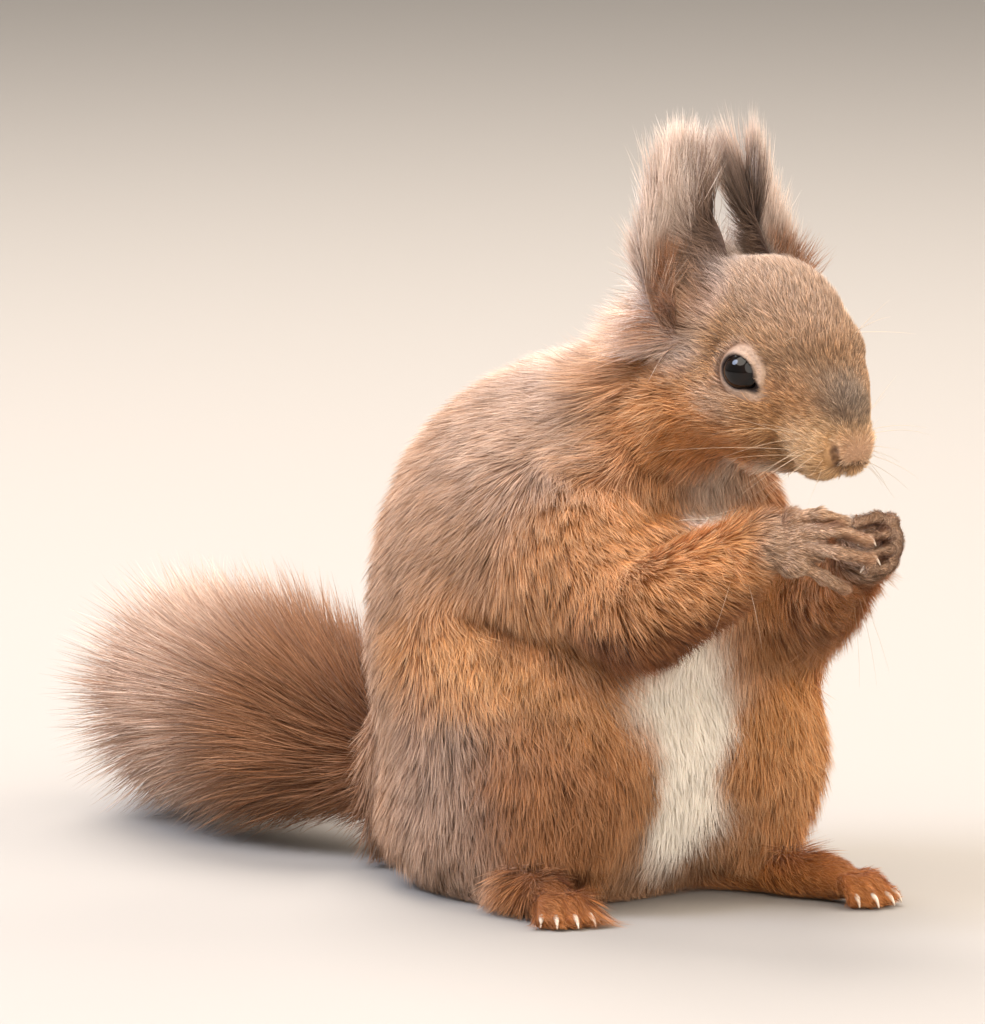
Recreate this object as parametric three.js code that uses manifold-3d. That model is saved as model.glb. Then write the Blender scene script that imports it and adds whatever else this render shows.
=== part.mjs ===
// A red squirrel sitting upright and gnawing, its forepaws raised to its mouth: a still, life-size model.
// Millimetres, +Z up. The squirrel faces -Y, its left side is +X, and it sits on the plane z = 0.
// The surface is the outside of the coat. It is one smooth field of rounded volumes, drawn as a mesh for
// each named part of the body and parted from its neighbours by thin cuts.

import * as THREE from "three";
import { triTable } from "three/addons/objects/MarchingCubes.js";
import { mergeVertices } from "three/addons/utils/BufferGeometryUtils.js";
import Module from "manifold-3d";

const wasm = await Module();
wasm.setup();

// ---------------------------------------------------------------- driving dimensions

const CUT = 0.3; // width of the cut between two parts
const SIDES = { left: 1, right: -1 };

const TRUNK = { halfWidth: 35, halfDepth: 41 };
const NECK = { baseRadius: 21.5, headRadius: 18 };
const HEAD = {
  eyesMiddle: [-3, -58.5, 116.5], // the point midway between the eyes
  pitchDown: 23, // degrees
  yawRight: 8, // degrees, towards the squirrel's right
  halfWidth: 16.5,
  snoutLength: 24,
};
const EYE = { radius: 4.7, apart: 24.6 };
const EAR = { halfWidth: 9.6, halfHeight: 17.5, thickness: 2.8, middle: 10, taper: 0.3 };
const TUFT = { halfWidth: 9.2, halfHeight: 19, thickness: 3.2, middle: 22.5, taper: 0.75 };
const EAR_CUP = 3.6; // how deep the ear's hollow is
const EAR_CUT = 23; // how far up the ear its tuft is parted from it
// Where each ear grows, how far it leans back and inward, and the way its hollow faces, in degrees.
const EARS = {
  right: { root: [-14.5, 20, 4], back: 41, inward: 14, face: -34 },
  left: { root: [14.5, 20, 4], back: 41, inward: 18, face: 50 },
};
const DIGIT = { handRadius: 1.8, footRadius: 2.5, clawRadius: 0.9, clawTip: 0.3 };
const TAIL = { rootRadius: 11, fullRadius: 29, tipRadius: 13 };

// The grid that each part is drawn on: the smaller the cell, the finer the part.
const CELL = {
  head: 4.8,
  forelimb: 5.4,
  foot: 5.6,
  upperArm: 8,
  neck: 8.5,
  thigh: 8.5,
  tail: 10,
  chest: 10.5,
  belly: 12.2,
};

// ---------------------------------------------------------------- fields of rounded volumes
// A field is a function of a point that is negative inside a shape, about the distance to it in mm.

const FAR = 400; // beyond all of the squirrel

const vec = (x, y, z) => new THREE.Vector3(x, y, z);
const blendedMin = (a, b, k) => {
  const h = Math.max(k - Math.abs(a - b), 0) / k;
  return Math.min(a, b) - (h * h * k) / 4;
};

// An ellipsoid, its own axes turned by a rotation in degrees about x, then y, then z.
function egg(centre, radii, turn = [0, 0, 0]) {
  const euler = new THREE.Euler(...turn.map(THREE.MathUtils.degToRad), "ZYX");
  const back = new THREE.Matrix4()
    .makeRotationFromEuler(euler)
    .setPosition(...centre)
    .invert().elements;
  const [rx, ry, rz] = radii;
  return ({ x, y, z }) => {
    const a = (back[0] * x + back[4] * y + back[8] * z + back[12]) / rx;
    const b = (back[1] * x + back[5] * y + back[9] * z + back[13]) / ry;
    const c = (back[2] * x + back[6] * y + back[10] * z + back[14]) / rz;
    const near = Math.hypot(a, b, c);
    const slope = Math.hypot(a / rx, b / ry, c / rz);
    return slope < 1e-9 ? -Math.min(rx, ry, rz) : (near * (near - 1)) / slope;
  };
}

// A round bar from one point to another whose radius runs from the first to the second.
function bar(from, to, fromRadius, toRadius = fromRadius) {
  const [ax, ay, az] = from;
  const [dx, dy, dz] = to.map((value, i) => value - from[i]);
  const lengthSquared = dx * dx + dy * dy + dz * dz;
  return ({ x, y, z }) => {
    const along = ((x - ax) * dx + (y - ay) * dy + (z - az) * dz) / lengthSquared;
    const t = Math.min(1, Math.max(0, along));
    const reach = Math.hypot(x - ax - t * dx, y - ay - t * dy, z - az - t * dz);
    return reach - fromRadius - t * (toRadius - fromRadius);
  };
}

// The field of a shape that was written in the frame of a matrix.
function placed(matrix, field) {
  const back = matrix.clone().invert();
  const own = vec(0, 0, 0);
  return (p) => field(own.copy(p).applyMatrix4(back));
}

const mix = (a, b, t) => a.map((value, i) => value + (b[i] - value) * t);
const add = (a, b) => a.map((value, i) => value + b[i]);

// ---------------------------------------------------------------- the body's volumes
// Each entry is a field and the width over which it melts into what is already there.

const body = [];
const melt = (width, ...fields) => fields.forEach((field) => body.push({ field, width }));

const headFrame = new THREE.Matrix4().compose(
  vec(...HEAD.eyesMiddle),
  new THREE.Quaternion().setFromEuler(
    new THREE.Euler(
      THREE.MathUtils.degToRad(HEAD.pitchDown),
      0,
      -THREE.MathUtils.degToRad(HEAD.yawRight),
      "ZXY",
    ),
  ),
  vec(1, 1, 1),
);
const inHead = (field) => placed(headFrame, field);
const headPoint = (x, y, z) => vec(x, y, z).applyMatrix4(headFrame).toArray();

function makeTrunk() {
  const { halfWidth, halfDepth } = TRUNK;
  melt(
    22,
    egg([0, 9, 31], [halfWidth + 2, halfDepth - 3, 38]), // rump and belly
    egg([0, 15.5, 60], [halfWidth, halfDepth, 36]), // ribs and the arch of the back
    egg([0, 8, 84], [halfWidth - 4, halfDepth - 8, 26]), // shoulders
  );
  melt(10, egg([-2, 17, 16], [36, 31, 21])); // the seat, spread on the ground
  melt(
    16,
    egg([0, -16, 80], [20, 19, 24]), // chest and throat
    bar([0, 0, 91.5], [-1, -33, 111], NECK.baseRadius, NECK.headRadius),
  );
}

function makeHead() {
  const { halfWidth, snoutLength } = HEAD;
  melt(
    10,
    inHead(egg([0, 9, 3.5], [halfWidth, 19, 16])), // braincase
    inHead(bar([0, -6, -1.8], [0, 3.6 - snoutLength, -5.5], 11, 6.3)), // snout
  );
  melt(9, inHead(egg([0, 25, -1], [14, 10, 14]))); // nape
  for (const side of Object.values(SIDES)) {
    melt(7, inHead(egg([side * 9.5, 3, -9], [8.5, 13, 9.5]))); // cheek
    melt(4, inHead(egg([side * 9.4, -1, 6], [5.2, 8, 4.3]))); // brow
    melt(4, inHead(egg([side * 7, -8.5, 1], [4.6, 6.5, 5.5]))); // beside the bridge
    melt(4.5, inHead(egg([side * 3.6, -15.8, -8.8], [5.2, 8, 5.2]))); // whisker pad
  }
  melt(4, inHead(bar([0, 0, -16], [0, -16, -14.6], 8.4, 4.9))); // lower jaw
  melt(2.5, inHead(egg([0, 0.4 - snoutLength, -5.2], [3.8, 2.8, 3.2]))); // nose
}

// Each digit is given by its knuckle, its bend, its tip and the point of its claw.
const ARMS = {
  right: {
    elbow: [-27, -34, 66],
    wrist: [-14.5, -62, 81.6],
    palm: [-12.8, -67.5, 81.8],
    digits: [
      [[-13.5, -68.5, 87], [-11.5, -74, 88], [-6.5, -75.8, 86.3], [-4.6, -75, 84.8]],
      [[-13.3, -70, 84.5], [-10.3, -77.2, 85.2], [-3.7, -79.7, 82.6], [-1.4, -80.6, 81.2]],
      [[-13.2, -70, 81.5], [-9.8, -77, 80.6], [-2.9, -79.8, 78.7], [-0.4, -80.9, 77.2]],
      [[-12.3, -69, 78], [-9.3, -72.7, 75], [-4, -73.6, 72.2], [-1.8, -73, 71]],
    ],
  },
  left: {
    elbow: [26, -29, 61],
    wrist: [9.5, -66, 77],
    palm: [11.2, -71.5, 80],
    digits: [
      [[10.5, -73, 84], [4, -75.8, 86], [0.2, -73.6, 85.2], [-0.8, -71.8, 83.8]],
      [[11, -74, 81.3], [4.3, -77.7, 83.2], [2.2, -75, 81.8], [0.8, -73.4, 80.4]],
      [[11.3, -73.5, 78.6], [5.8, -77.2, 79.5], [3.6, -74.9, 78.5], [2.2, -73.3, 77.2]],
      [[10.8, -71.8, 76.3], [6.6, -75.2, 75.8], [4.6, -73.2, 75.3], [3.4, -71.6, 74.2]],
    ],
  },
};

// A foot lies flat from its heel to its ball, and its toes reach to a row between two tips.
const LEGS = {
  right: {
    thigh: [-21, -1, 31],
    heel: [-23, 12, 6],
    ball: [-34, -19, 4.8],
    tips: [[-31, -32.5], [-45, -27]],
  },
  left: {
    thigh: [23, -11, 31],
    heel: [22, -9, 6],
    ball: [25.5, -43, 4.8],
    tips: [[20, -57], [34.5, -54.5]],
  },
};
const TOES = 5;

function makeUpperArms() {
  for (const [name, { elbow }] of Object.entries(ARMS))
    melt(12, bar([SIDES[name] * 20, -3, 86], elbow, 16, 12));
}

// The line of the deep fur that hangs below a forearm.
const deepFur = (elbow, wrist) => [
  add(mix(elbow, wrist, 0.1), [0, 0, -3]),
  add(mix(elbow, wrist, 0.6), [0, 0, -4.5]),
];

// The forearm and palm are a field of their own, so that a hand never melts into the chin above it.
const forelimb = ({ elbow, wrist, palm, digits }) => [
  { field: bar(mix(elbow, wrist, 0.12), wrist, 12, 7), width: 1 },
  { field: bar(...deepFur(elbow, wrist), 11.5, 8.2), width: 4 },
  { field: bar(wrist, palm, 6, 5), width: 3 },
  { field: bar(digits[0][0], digits.at(-1)[0], 3.2), width: 2 }, // across the knuckles
];

function makeLegs() {
  for (const [name, leg] of Object.entries(LEGS)) {
    melt(7, egg(leg.thigh, [18, 29, 31], [0, 0, SIDES[name] * 6]));
    melt(5, bar(leg.heel, leg.ball, 7, 5.6));
  }
}

// The toes spread from the ball of the foot, the middle ones longest.
function toesOf({ ball, tips }) {
  return Array.from({ length: TOES }, (_, i) => {
    const t = i / (TOES - 1);
    const [x, y] = mix(tips[0], tips[1], t);
    const tip = mix([x, y, 2.3], [...ball.slice(0, 2), 2.3], 0.28 * (2 * t - 1) ** 2);
    const knuckle = mix(ball, tip, 0.25);
    const bend = add(mix(knuckle, tip, 0.6), [0, 0, 2]);
    const reach = mix(knuckle, tip, 1.32);
    return [knuckle, bend, tip, [reach[0], reach[1], 0.6]];
  });
}

// The tail leaves the rump low down, thickens at once and curls round to lie along the ground.
const tailLine = new THREE.CatmullRomCurve3(
  [
    vec(0, 38, 15),
    vec(0, 58, 19),
    vec(-1, 77, 25),
    vec(-1, 102, 28),
    vec(6, 124, 27),
    vec(24, 139, 20),
    vec(47, 141, 13),
  ],
  false,
  "centripetal",
);
const TAIL_STEPS = 12;
const tailRadius = (t) => {
  const { rootRadius, fullRadius, tipRadius } = TAIL;
  const filled = rootRadius + (fullRadius - rootRadius) * THREE.MathUtils.smoothstep(t, 0.02, 0.34);
  return filled - (fullRadius - tipRadius) * THREE.MathUtils.smoothstep(t, 0.6, 1.05);
};

function makeTail() {
  const points = tailLine.getSpacedPoints(TAIL_STEPS).map((point) => point.toArray());
  for (let i = 0; i < TAIL_STEPS; i += 1) {
    const radii = [i, i + 1].map((step) => tailRadius(step / TAIL_STEPS));
    melt(5, bar(points[i], points[i + 1], ...radii));
  }
}

makeTrunk();
makeHead();
makeLegs();
makeTail();
makeUpperArms();

// One field of many volumes, each melted into those before it.
const melted = (volumes) => (p) =>
  volumes.reduce(
    (distance, { field, width }) => blendedMin(distance, field(p), width),
    FAR,
  );

// ---------------------------------------------------------------- from field to closed mesh

// The corners of a grid cell and its edges as corner pairs, in the order that the table of triangles uses.
const CORNERS = [
  [0, 0, 0],
  [1, 0, 0],
  [1, 1, 0],
  [0, 1, 0],
  [0, 0, 1],
  [1, 0, 1],
  [1, 1, 1],
  [0, 1, 1],
];
const EDGES = [
  [0, 1],
  [1, 2],
  [2, 3],
  [3, 0],
  [4, 5],
  [5, 6],
  [6, 7],
  [7, 4],
  [0, 4],
  [1, 5],
  [2, 6],
  [3, 7],
];

// Draws the surface where a field is zero, as { points, faces, walled }. The walls of the box close it, and
// walled is the field with those walls.
function polygonise(field, box, cell) {
  const low = box.min.clone().subScalar(cell);
  const size = box.getSize(vec(0, 0, 0));
  const [nx, ny, nz] = size.toArray().map((side) => Math.ceil(side / cell) + 3);
  const walled = (p) => Math.max(field(p), outOfBox(box, p));
  const values = new Float64Array(nx * ny * nz);
  const index = (i, j, k) => (k * ny + j) * nx + i;
  const at = (i, j, k) => vec(low.x + i * cell, low.y + j * cell, low.z + k * cell);
  for (let k = 0; k < nz; k += 1)
    for (let j = 0; j < ny; j += 1)
      for (let i = 0; i < nx; i += 1) {
        const value = walled(at(i, j, k));
        values[index(i, j, k)] = Math.abs(value) < 1e-6 ? 1e-6 : value;
      }
  const points = [];
  const faces = [];
  const known = new Map();
  const crossing = (a, b) => {
    const [ia, ib] = [index(...a), index(...b)];
    const key = ia < ib ? ia * 4e6 + ib : ib * 4e6 + ia;
    if (!known.has(key)) {
      const t = values[ia] / (values[ia] - values[ib]);
      known.set(key, points.length);
      points.push(at(...a).lerp(at(...b), Math.min(0.98, Math.max(0.02, t))));
    }
    return known.get(key);
  };
  for (let k = 0; k < nz - 1; k += 1)
    for (let j = 0; j < ny - 1; j += 1)
      for (let i = 0; i < nx - 1; i += 1) {
        const corners = CORNERS.map(([x, y, z]) => [i + x, j + y, k + z]);
        let code = 0;
        corners.forEach((corner, bit) => {
          if (values[index(...corner)] < 0) code |= 1 << bit;
        });
        for (let n = code * 16; triTable[n] !== -1; n += 3)
          faces.push(
            [0, 2, 1].map((m) => {
              const [from, to] = EDGES[triTable[n + m]];
              return crossing(corners[from], corners[to]);
            }),
          );
      }
  return { points, faces, walled };
}

// How far a point lies outside the walls of a box, negative inside.
function outOfBox(box, p) {
  return Math.max(
    box.min.x - p.x,
    p.x - box.max.x,
    box.min.y - p.y,
    p.y - box.max.y,
    box.min.z - p.z,
    p.z - box.max.z,
  );
}

const SLOPE_STEP = 0.05;
function slopeOf(field, p) {
  const step = (x, y, z) => field(vec(p.x + x, p.y + y, p.z + z));
  return vec(
    step(SLOPE_STEP, 0, 0) - step(-SLOPE_STEP, 0, 0),
    step(0, SLOPE_STEP, 0) - step(0, -SLOPE_STEP, 0),
    step(0, 0, SLOPE_STEP) - step(0, 0, -SLOPE_STEP),
  ).divideScalar(2 * SLOPE_STEP);
}

// Evens out the triangles: each point moves to the middle of its neighbours, then back onto the surface.
const PASSES = 3;
function relax({ points, faces, walled }, cell) {
  const around = points.map(() => new Set());
  for (const face of faces)
    face.forEach((a, i) => around[a].add(face[(i + 1) % 3]).add(face[(i + 2) % 3]));
  for (let pass = 0; pass < PASSES; pass += 1) {
    const moved = points.map((point, i) => {
      const middle = vec(0, 0, 0);
      around[i].forEach((n) => middle.add(points[n]));
      middle.divideScalar(around[i].size).lerp(point, 0.4);
      for (let turn = 0; turn < 2; turn += 1) {
        const slope = slopeOf(walled, middle);
        const steep = Math.max(slope.lengthSq(), 0.25);
        const reach = THREE.MathUtils.clamp(walled(middle) / steep, -cell / 2, cell / 2);
        middle.addScaledVector(slope, -reach);
      }
      return middle;
    });
    moved.forEach((point, i) => points[i].copy(point));
  }
}

// The same mesh with each point moved out square to the surface.
function swollen({ points, faces, walled }, by) {
  const moved = points.map((p) => p.clone().addScaledVector(slopeOf(walled, p).normalize(), by));
  return { points: moved, faces, walled };
}

function drawnMesh(field, box, cell) {
  const drawn = polygonise(field, box, cell);
  relax(drawn, cell);
  return drawn;
}

function solidFrom({ points, faces }) {
  return new wasm.Manifold(
    new wasm.Mesh({
      numProp: 3,
      vertProperties: new Float32Array(points.flatMap((p) => p.toArray())),
      triVerts: new Uint32Array(faces.flat()),
    }),
  );
}

function solidOfGeometry(geometry) {
  const bare = geometry.clone().deleteAttribute("normal").deleteAttribute("uv");
  const merged = mergeVertices(bare, 1e-4);
  return new wasm.Manifold(
    new wasm.Mesh({
      numProp: 3,
      vertProperties: merged.attributes.position.array,
      triVerts: new Uint32Array(merged.index.array),
    }),
  );
}

function geometryOf(solid) {
  const { vertProperties, triVerts, numProp } = solid.getMesh();
  const count = vertProperties.length / numProp;
  const positions = new Float32Array(count * 3);
  for (let i = 0; i < count; i += 1)
    positions.set(vertProperties.subarray(i * numProp, i * numProp + 3), i * 3);
  const geometry = new THREE.BufferGeometry();
  geometry.setAttribute("position", new THREE.BufferAttribute(positions, 3));
  geometry.setIndex(new THREE.BufferAttribute(new Uint32Array(triVerts), 1));
  geometry.computeVertexNormals();
  return geometry;
}

// ---------------------------------------------------------------- ears and digits, drawn as themselves

// A closed tube of even sides through points, with its radius at each and a rounded end.
function tube(points, radii, sides) {
  const centres = points.map((point) => vec(...point));
  const positions = [];
  const faces = [];
  const count = centres.length;
  let across = vec(0.3, 0.2, 1);
  centres.forEach((centre, i) => {
    const ahead = centres[Math.min(i + 1, count - 1)];
    const behind = centres[Math.max(i - 1, 0)];
    const along = ahead.clone().sub(behind).normalize();
    across = across.addScaledVector(along, -across.dot(along)).normalize();
    const third = along.clone().cross(across);
    for (let n = 0; n < sides; n += 1) {
      const turn = (2 * Math.PI * n) / sides;
      const spoke = across.clone().multiplyScalar(Math.cos(turn));
      spoke.addScaledVector(third, Math.sin(turn)).multiplyScalar(radii[i]);
      positions.push(...spoke.add(centre).toArray());
    }
    if (i === 0) return;
    for (let n = 0; n < sides; n += 1) {
      const [a, b] = [(i - 1) * sides + n, (i - 1) * sides + ((n + 1) % sides)];
      faces.push(a, b, b + sides, a, b + sides, a + sides);
    }
  });
  const caps = [
    [centres[0], centres[1], radii[0], 0],
    [centres[count - 1], centres[count - 2], radii[count - 1], (count - 1) * sides],
  ];
  caps.forEach(([end, inner, radius, first], which) => {
    const pole = end.clone().sub(inner).setLength(radius * 0.6).add(end);
    const middle = positions.length / 3;
    positions.push(...pole.toArray());
    for (let n = 0; n < sides; n += 1) {
      const rim = [first + n, first + ((n + 1) % sides)];
      faces.push(...(which ? rim : rim.reverse()), middle);
    }
  });
  const geometry = new THREE.BufferGeometry();
  geometry.setAttribute("position", new THREE.Float32BufferAttribute(positions, 3));
  geometry.setIndex(faces);
  return geometry;
}

// A digit with its claw, the claw curving on from the tip.
function digitSolid([knuckle, bend, tip, point], radius) {
  const { clawRadius, clawTip } = DIGIT;
  const points = [knuckle, bend, tip, mix(tip, point, 0.35), point];
  const radii = [radius * 1.1, radius, radius * 0.85, clawRadius, clawTip];
  return solidOfGeometry(tube(points, radii, 5));
}

// A ball flattened to a leaf and cupped, narrower at the top, in the ear's own frame.
function leaf({ halfWidth, halfHeight, thickness, middle, taper }, grow) {
  const geometry = new THREE.SphereGeometry(1, 8, 7).rotateX(Math.PI / 2);
  const points = geometry.attributes.position;
  for (let i = 0; i < points.count; i += 1) {
    const p = vec(0, 0, 0).fromBufferAttribute(points, i);
    const bowl = EAR_CUP * (1 - p.x * p.x - p.z * p.z);
    const narrow = 1 - taper * Math.max(0, p.z) ** 2;
    points.setXYZ(
      i,
      p.x * narrow * (halfWidth + grow),
      p.y * (thickness + grow) + bowl,
      p.z * (halfHeight + grow) + middle,
    );
  }
  return geometry;
}

// An ear's own frame: z runs up the ear, -y is the way its opening faces.
function earFrame(name) {
  const { root, back, inward, face } = EARS[name];
  const [pitch, roll, yaw] = [-back, -inward * SIDES[name], face].map(THREE.MathUtils.degToRad);
  const leaning = new THREE.Matrix4()
    .makeRotationFromEuler(new THREE.Euler(pitch, roll, 0, "ZYX"))
    .setPosition(...root);
  return headFrame.clone().multiply(leaning).multiply(new THREE.Matrix4().makeRotationZ(yaw));
}

function earSolid(name, grow) {
  const frame = earFrame(name);
  const [ear, tuft] = [EAR, TUFT].map((sizes) => solidOfGeometry(leaf(sizes, grow).applyMatrix4(frame)));
  return ear.add(tuft);
}

const eyeSolid = (side, grow) =>
  solidOfGeometry(
    new THREE.SphereGeometry(EYE.radius + grow, 9, 7)
      .rotateX(Math.PI / 2)
      .translate(...headPoint((side * EYE.apart) / 2, 0, 0)),
  );

// ---------------------------------------------------------------- the cuts

// A region is a convex shape in a frame. It is made a little smaller to keep a part, or larger to clear one.
const turned = (position, degrees = [0, 0, 0]) => {
  const euler = new THREE.Euler(...degrees.map(THREE.MathUtils.degToRad), "ZYX");
  return new THREE.Matrix4().makeRotationFromEuler(euler).setPosition(...position);
};

const boxRegion = (frame, low, high) => (grow) => {
  const size = high.map((value, i) => value - low[i] + 2 * grow);
  const middle = mix(low, high, 0.5);
  return new THREE.BoxGeometry(...size).translate(...middle).applyMatrix4(frame);
};

const eggRegion = (centre, radii, degrees) => (grow) =>
  new THREE.IcosahedronGeometry(1, 1)
    .scale(...radii.map((radius) => radius + grow))
    .applyMatrix4(turned(centre, degrees));

// A frame at a point whose z axis runs along a direction, for a cut square to a limb.
function facing(point, direction) {
  const quaternion = new THREE.Quaternion().setFromUnitVectors(
    vec(0, 0, 1),
    vec(...direction).normalize(),
  );
  return new THREE.Matrix4().compose(vec(...point), quaternion, vec(1, 1, 1));
}
const towards = (a, b) => b.map((value, i) => value - a[i]);

const level = turned([0, 0, 0]);
const floorRegion = boxRegion(level, [-FAR, -FAR, 0], [FAR, FAR, FAR]);
const headRegion = boxRegion(turned([-2, -43, 117], [0, 0, -8]), [-22, -48, -32], [22, 11, 45]);
const neckRegion = boxRegion(turned([0, -14, 104], [-28, 0, 0]), [-32, -40, -14], [32, 14, 60]);
const chestRegion = boxRegion(level, [-60, -60, 66], [60, 70, 140]);
const bellyRegion = boxRegion(level, [-60, -60, -5], [60, 70, 66]);

const upperArmRegion = (name) =>
  eggRegion([SIDES[name] * 27, -22, 76], [18, 32, 30], [-38, 0, 0]);

const thighRegion = (name) => {
  const [x, y] = LEGS[name].thigh;
  return eggRegion([x + SIDES[name] * 7, y, 30], [18, 34, 38]);
};

const footRegion = (name) => {
  const { ball, tips } = LEGS[name];
  const toes = new THREE.Box3().setFromPoints([...tips, ball].map(([x, y]) => vec(x, y, 0)));
  const { min, max } = toes.expandByScalar(9);
  return boxRegion(level, [min.x, min.y, -5], [max.x, ball[1] + 12, 11.5]);
};

// The tail is cut square to its line. The ceiling keeps its first length below the back, which overhangs it.
function tailRegion(start, ceiling) {
  const frame = facing(
    tailLine.getPointAt(start).toArray(),
    tailLine.getTangentAt(start).toArray(),
  );
  return boxRegion(frame, [-45, -ceiling, 0], [45, 45, 110]);
}

// ---------------------------------------------------------------- the parts

const finish = (color, roughness) =>
  new THREE.MeshStandardMaterial({ color, roughness, metalness: 0 });
const FINISHES = {
  brownCoat: () => finish(0xa87850, 0.85),
  rustCoat: () => finish(0xb56a33, 0.85),
  creamCoat: () => finish(0xd6c6a8, 0.85),
  tailCoat: () => finish(0x8a5a3f, 0.85),
  earCoat: () => finish(0x8b6a52, 0.85),
  handSkin: () => finish(0x8f7461, 0.7),
  footSkin: () => finish(0xb5703d, 0.75),
  wetEye: () => finish(0x0d0a09, 0.08),
};

const squirrel = new THREE.Group();

function addPart(name, solid, look) {
  const mesh = new THREE.Mesh(geometryOf(solid), FINISHES[look]());
  mesh.name = name;
  squirrel.add(mesh);
}

const largest = (solid) =>
  solid.decompose().reduce((a, b) => (a.volume() > b.volume() ? a : b));
const joined = (solid, others) => others.reduce((whole, other) => whole.add(other), solid);
const without = (solid, others) => others.reduce((whole, other) => whole.subtract(other), solid);

// What is already made, a little larger, to be cleared from each part made after it.
const cleared = [];

for (const [name, side] of Object.entries(SIDES)) {
  const [below, above] = [
    [-30, EAR_CUT - CUT / 2],
    [EAR_CUT + CUT / 2, 60],
  ].map(([low, high]) => solidOfGeometry(boxRegion(earFrame(name), [-20, -20, low], [20, 20, high])(0)));
  addPart(`eye_${name}`, eyeSolid(side, 0), "wetEye");
  addPart(`ear_tuft_${name}`, earSolid(name, 0).intersect(above), "earCoat");
  addPart(`ear_${name}`, earSolid(name, 0).intersect(below), "earCoat");
  cleared.push(eyeSolid(side, CUT), earSolid(name, CUT));
}

for (const [name, arm] of Object.entries(ARMS)) {
  const { elbow, wrist, palm, digits } = arm;
  const ends = [elbow, ...digits.flat()].map((point) => vec(...point));
  const box = new THREE.Box3().setFromPoints(ends).expandByScalar(15);
  const drawn = drawnMesh(melted(forelimb(arm)), box, CELL.forelimb);
  const beyondWrist = boxRegion(
    facing(mix(wrist, palm, -0.15), towards(wrist, palm)),
    [-30, -30, 0],
    [30, 30, 60],
  );
  const hand = joined(solidFrom(drawn), digits.map((digit) => digitSolid(digit, DIGIT.handRadius)));
  const forearm = solidFrom(drawn).subtract(solidOfGeometry(beyondWrist(CUT / 2)));
  addPart(`hand_${name}`, hand.intersect(solidOfGeometry(beyondWrist(-CUT / 2))), "handSkin");
  addPart(`forearm_${name}`, forearm, "rustCoat");
  cleared.push(solidFrom(swollen(drawn, CUT)));
}

const coat = melted(body);
const floor = solidOfGeometry(floorRegion(0));

function addCutPart(name, cell, region, look, digits = []) {
  const shape = region(-CUT / 2);
  shape.computeBoundingBox();
  const drawn = drawnMesh(coat, shape.boundingBox.clone().expandByScalar(cell * 1.5), cell);
  const solid = joined(solidFrom(drawn), digits).intersect(solidOfGeometry(shape)).intersect(floor);
  addPart(name, largest(without(solid, cleared)), look);
  cleared.push(solidOfGeometry(region(CUT / 2)));
}

addCutPart("head", CELL.head, headRegion, "brownCoat");
for (const name of Object.keys(SIDES)) {
  const toes = toesOf(LEGS[name]).map((toe) => digitSolid(toe, DIGIT.footRadius));
  addCutPart(`upper_arm_${name}`, CELL.upperArm, upperArmRegion(name), "rustCoat");
  addCutPart(`foot_${name}`, CELL.foot, footRegion(name), "footSkin", toes);
  addCutPart(`thigh_${name}`, CELL.thigh, thighRegion(name), "rustCoat");
}
addCutPart("tail_end", CELL.tail, tailRegion(0.68, 45), "tailCoat");
addCutPart("tail_middle", CELL.tail, tailRegion(0.4, 45), "tailCoat");
addCutPart("tail_base", CELL.tail, tailRegion(0.13, 36), "tailCoat");
addCutPart("neck", CELL.neck, neckRegion, "brownCoat");
addCutPart("chest", CELL.chest, chestRegion, "brownCoat");
addCutPart("belly", CELL.belly, bellyRegion, "creamCoat");

// The origin is the middle of the footprint, on the ground.
const whole = new THREE.Box3().setFromObject(squirrel);
const middle = whole.getCenter(vec(0, 0, 0));
squirrel.position.set(-middle.x, -middle.y, -whole.min.z);

export default squirrel;
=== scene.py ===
"""A life-size red squirrel that sits up and leans forward with its forepaws raised.

One skin stands for all the flesh. Over it lies a coat of fine hair mesh, laid part by part, and on it
are set the eyes, the claws and the whiskers. Sizes are millimetres in the squirrel's own frame: +Z up,
its face towards -Y, its left side towards +X.
"""

import logging
import math
from dataclasses import dataclass, field, fields
from enum import Enum
from typing import Callable, Protocol, Sequence

import bpy
import numpy as np
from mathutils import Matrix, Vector


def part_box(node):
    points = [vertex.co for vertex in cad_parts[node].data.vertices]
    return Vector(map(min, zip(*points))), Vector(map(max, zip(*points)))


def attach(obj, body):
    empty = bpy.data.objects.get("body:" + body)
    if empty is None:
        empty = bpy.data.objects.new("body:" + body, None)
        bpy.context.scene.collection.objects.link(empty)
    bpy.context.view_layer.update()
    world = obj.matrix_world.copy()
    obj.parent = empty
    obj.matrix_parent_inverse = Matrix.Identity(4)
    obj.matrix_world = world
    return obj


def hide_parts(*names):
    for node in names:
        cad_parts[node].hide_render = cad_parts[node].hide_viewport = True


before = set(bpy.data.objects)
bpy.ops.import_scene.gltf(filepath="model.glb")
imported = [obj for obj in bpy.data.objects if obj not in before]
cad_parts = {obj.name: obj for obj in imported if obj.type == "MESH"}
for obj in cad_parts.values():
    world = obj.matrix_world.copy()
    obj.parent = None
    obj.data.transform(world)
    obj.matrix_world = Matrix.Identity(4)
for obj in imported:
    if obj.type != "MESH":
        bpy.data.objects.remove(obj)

Array = np.ndarray
Point = tuple[float, float, float]

MM = 0.001
FAR = 1e3
SEED = 20
SIDES = {"left": 1.0, "right": -1.0}
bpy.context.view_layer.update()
BODY = "root"
log = logging.getLogger("squirrel")


# ---------------------------------------------------------------- small sums on arrays of points


def unit(vectors: Array) -> Array:
    """Gives the vectors a length of one."""
    return vectors / np.maximum(np.linalg.norm(vectors, axis=-1, keepdims=True), 1e-9)


def mix(a: Array, b: Array, share: Array | float) -> Array:
    """Goes from a to b as share goes from 0 to 1."""
    return a + (b - a) * share


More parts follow.
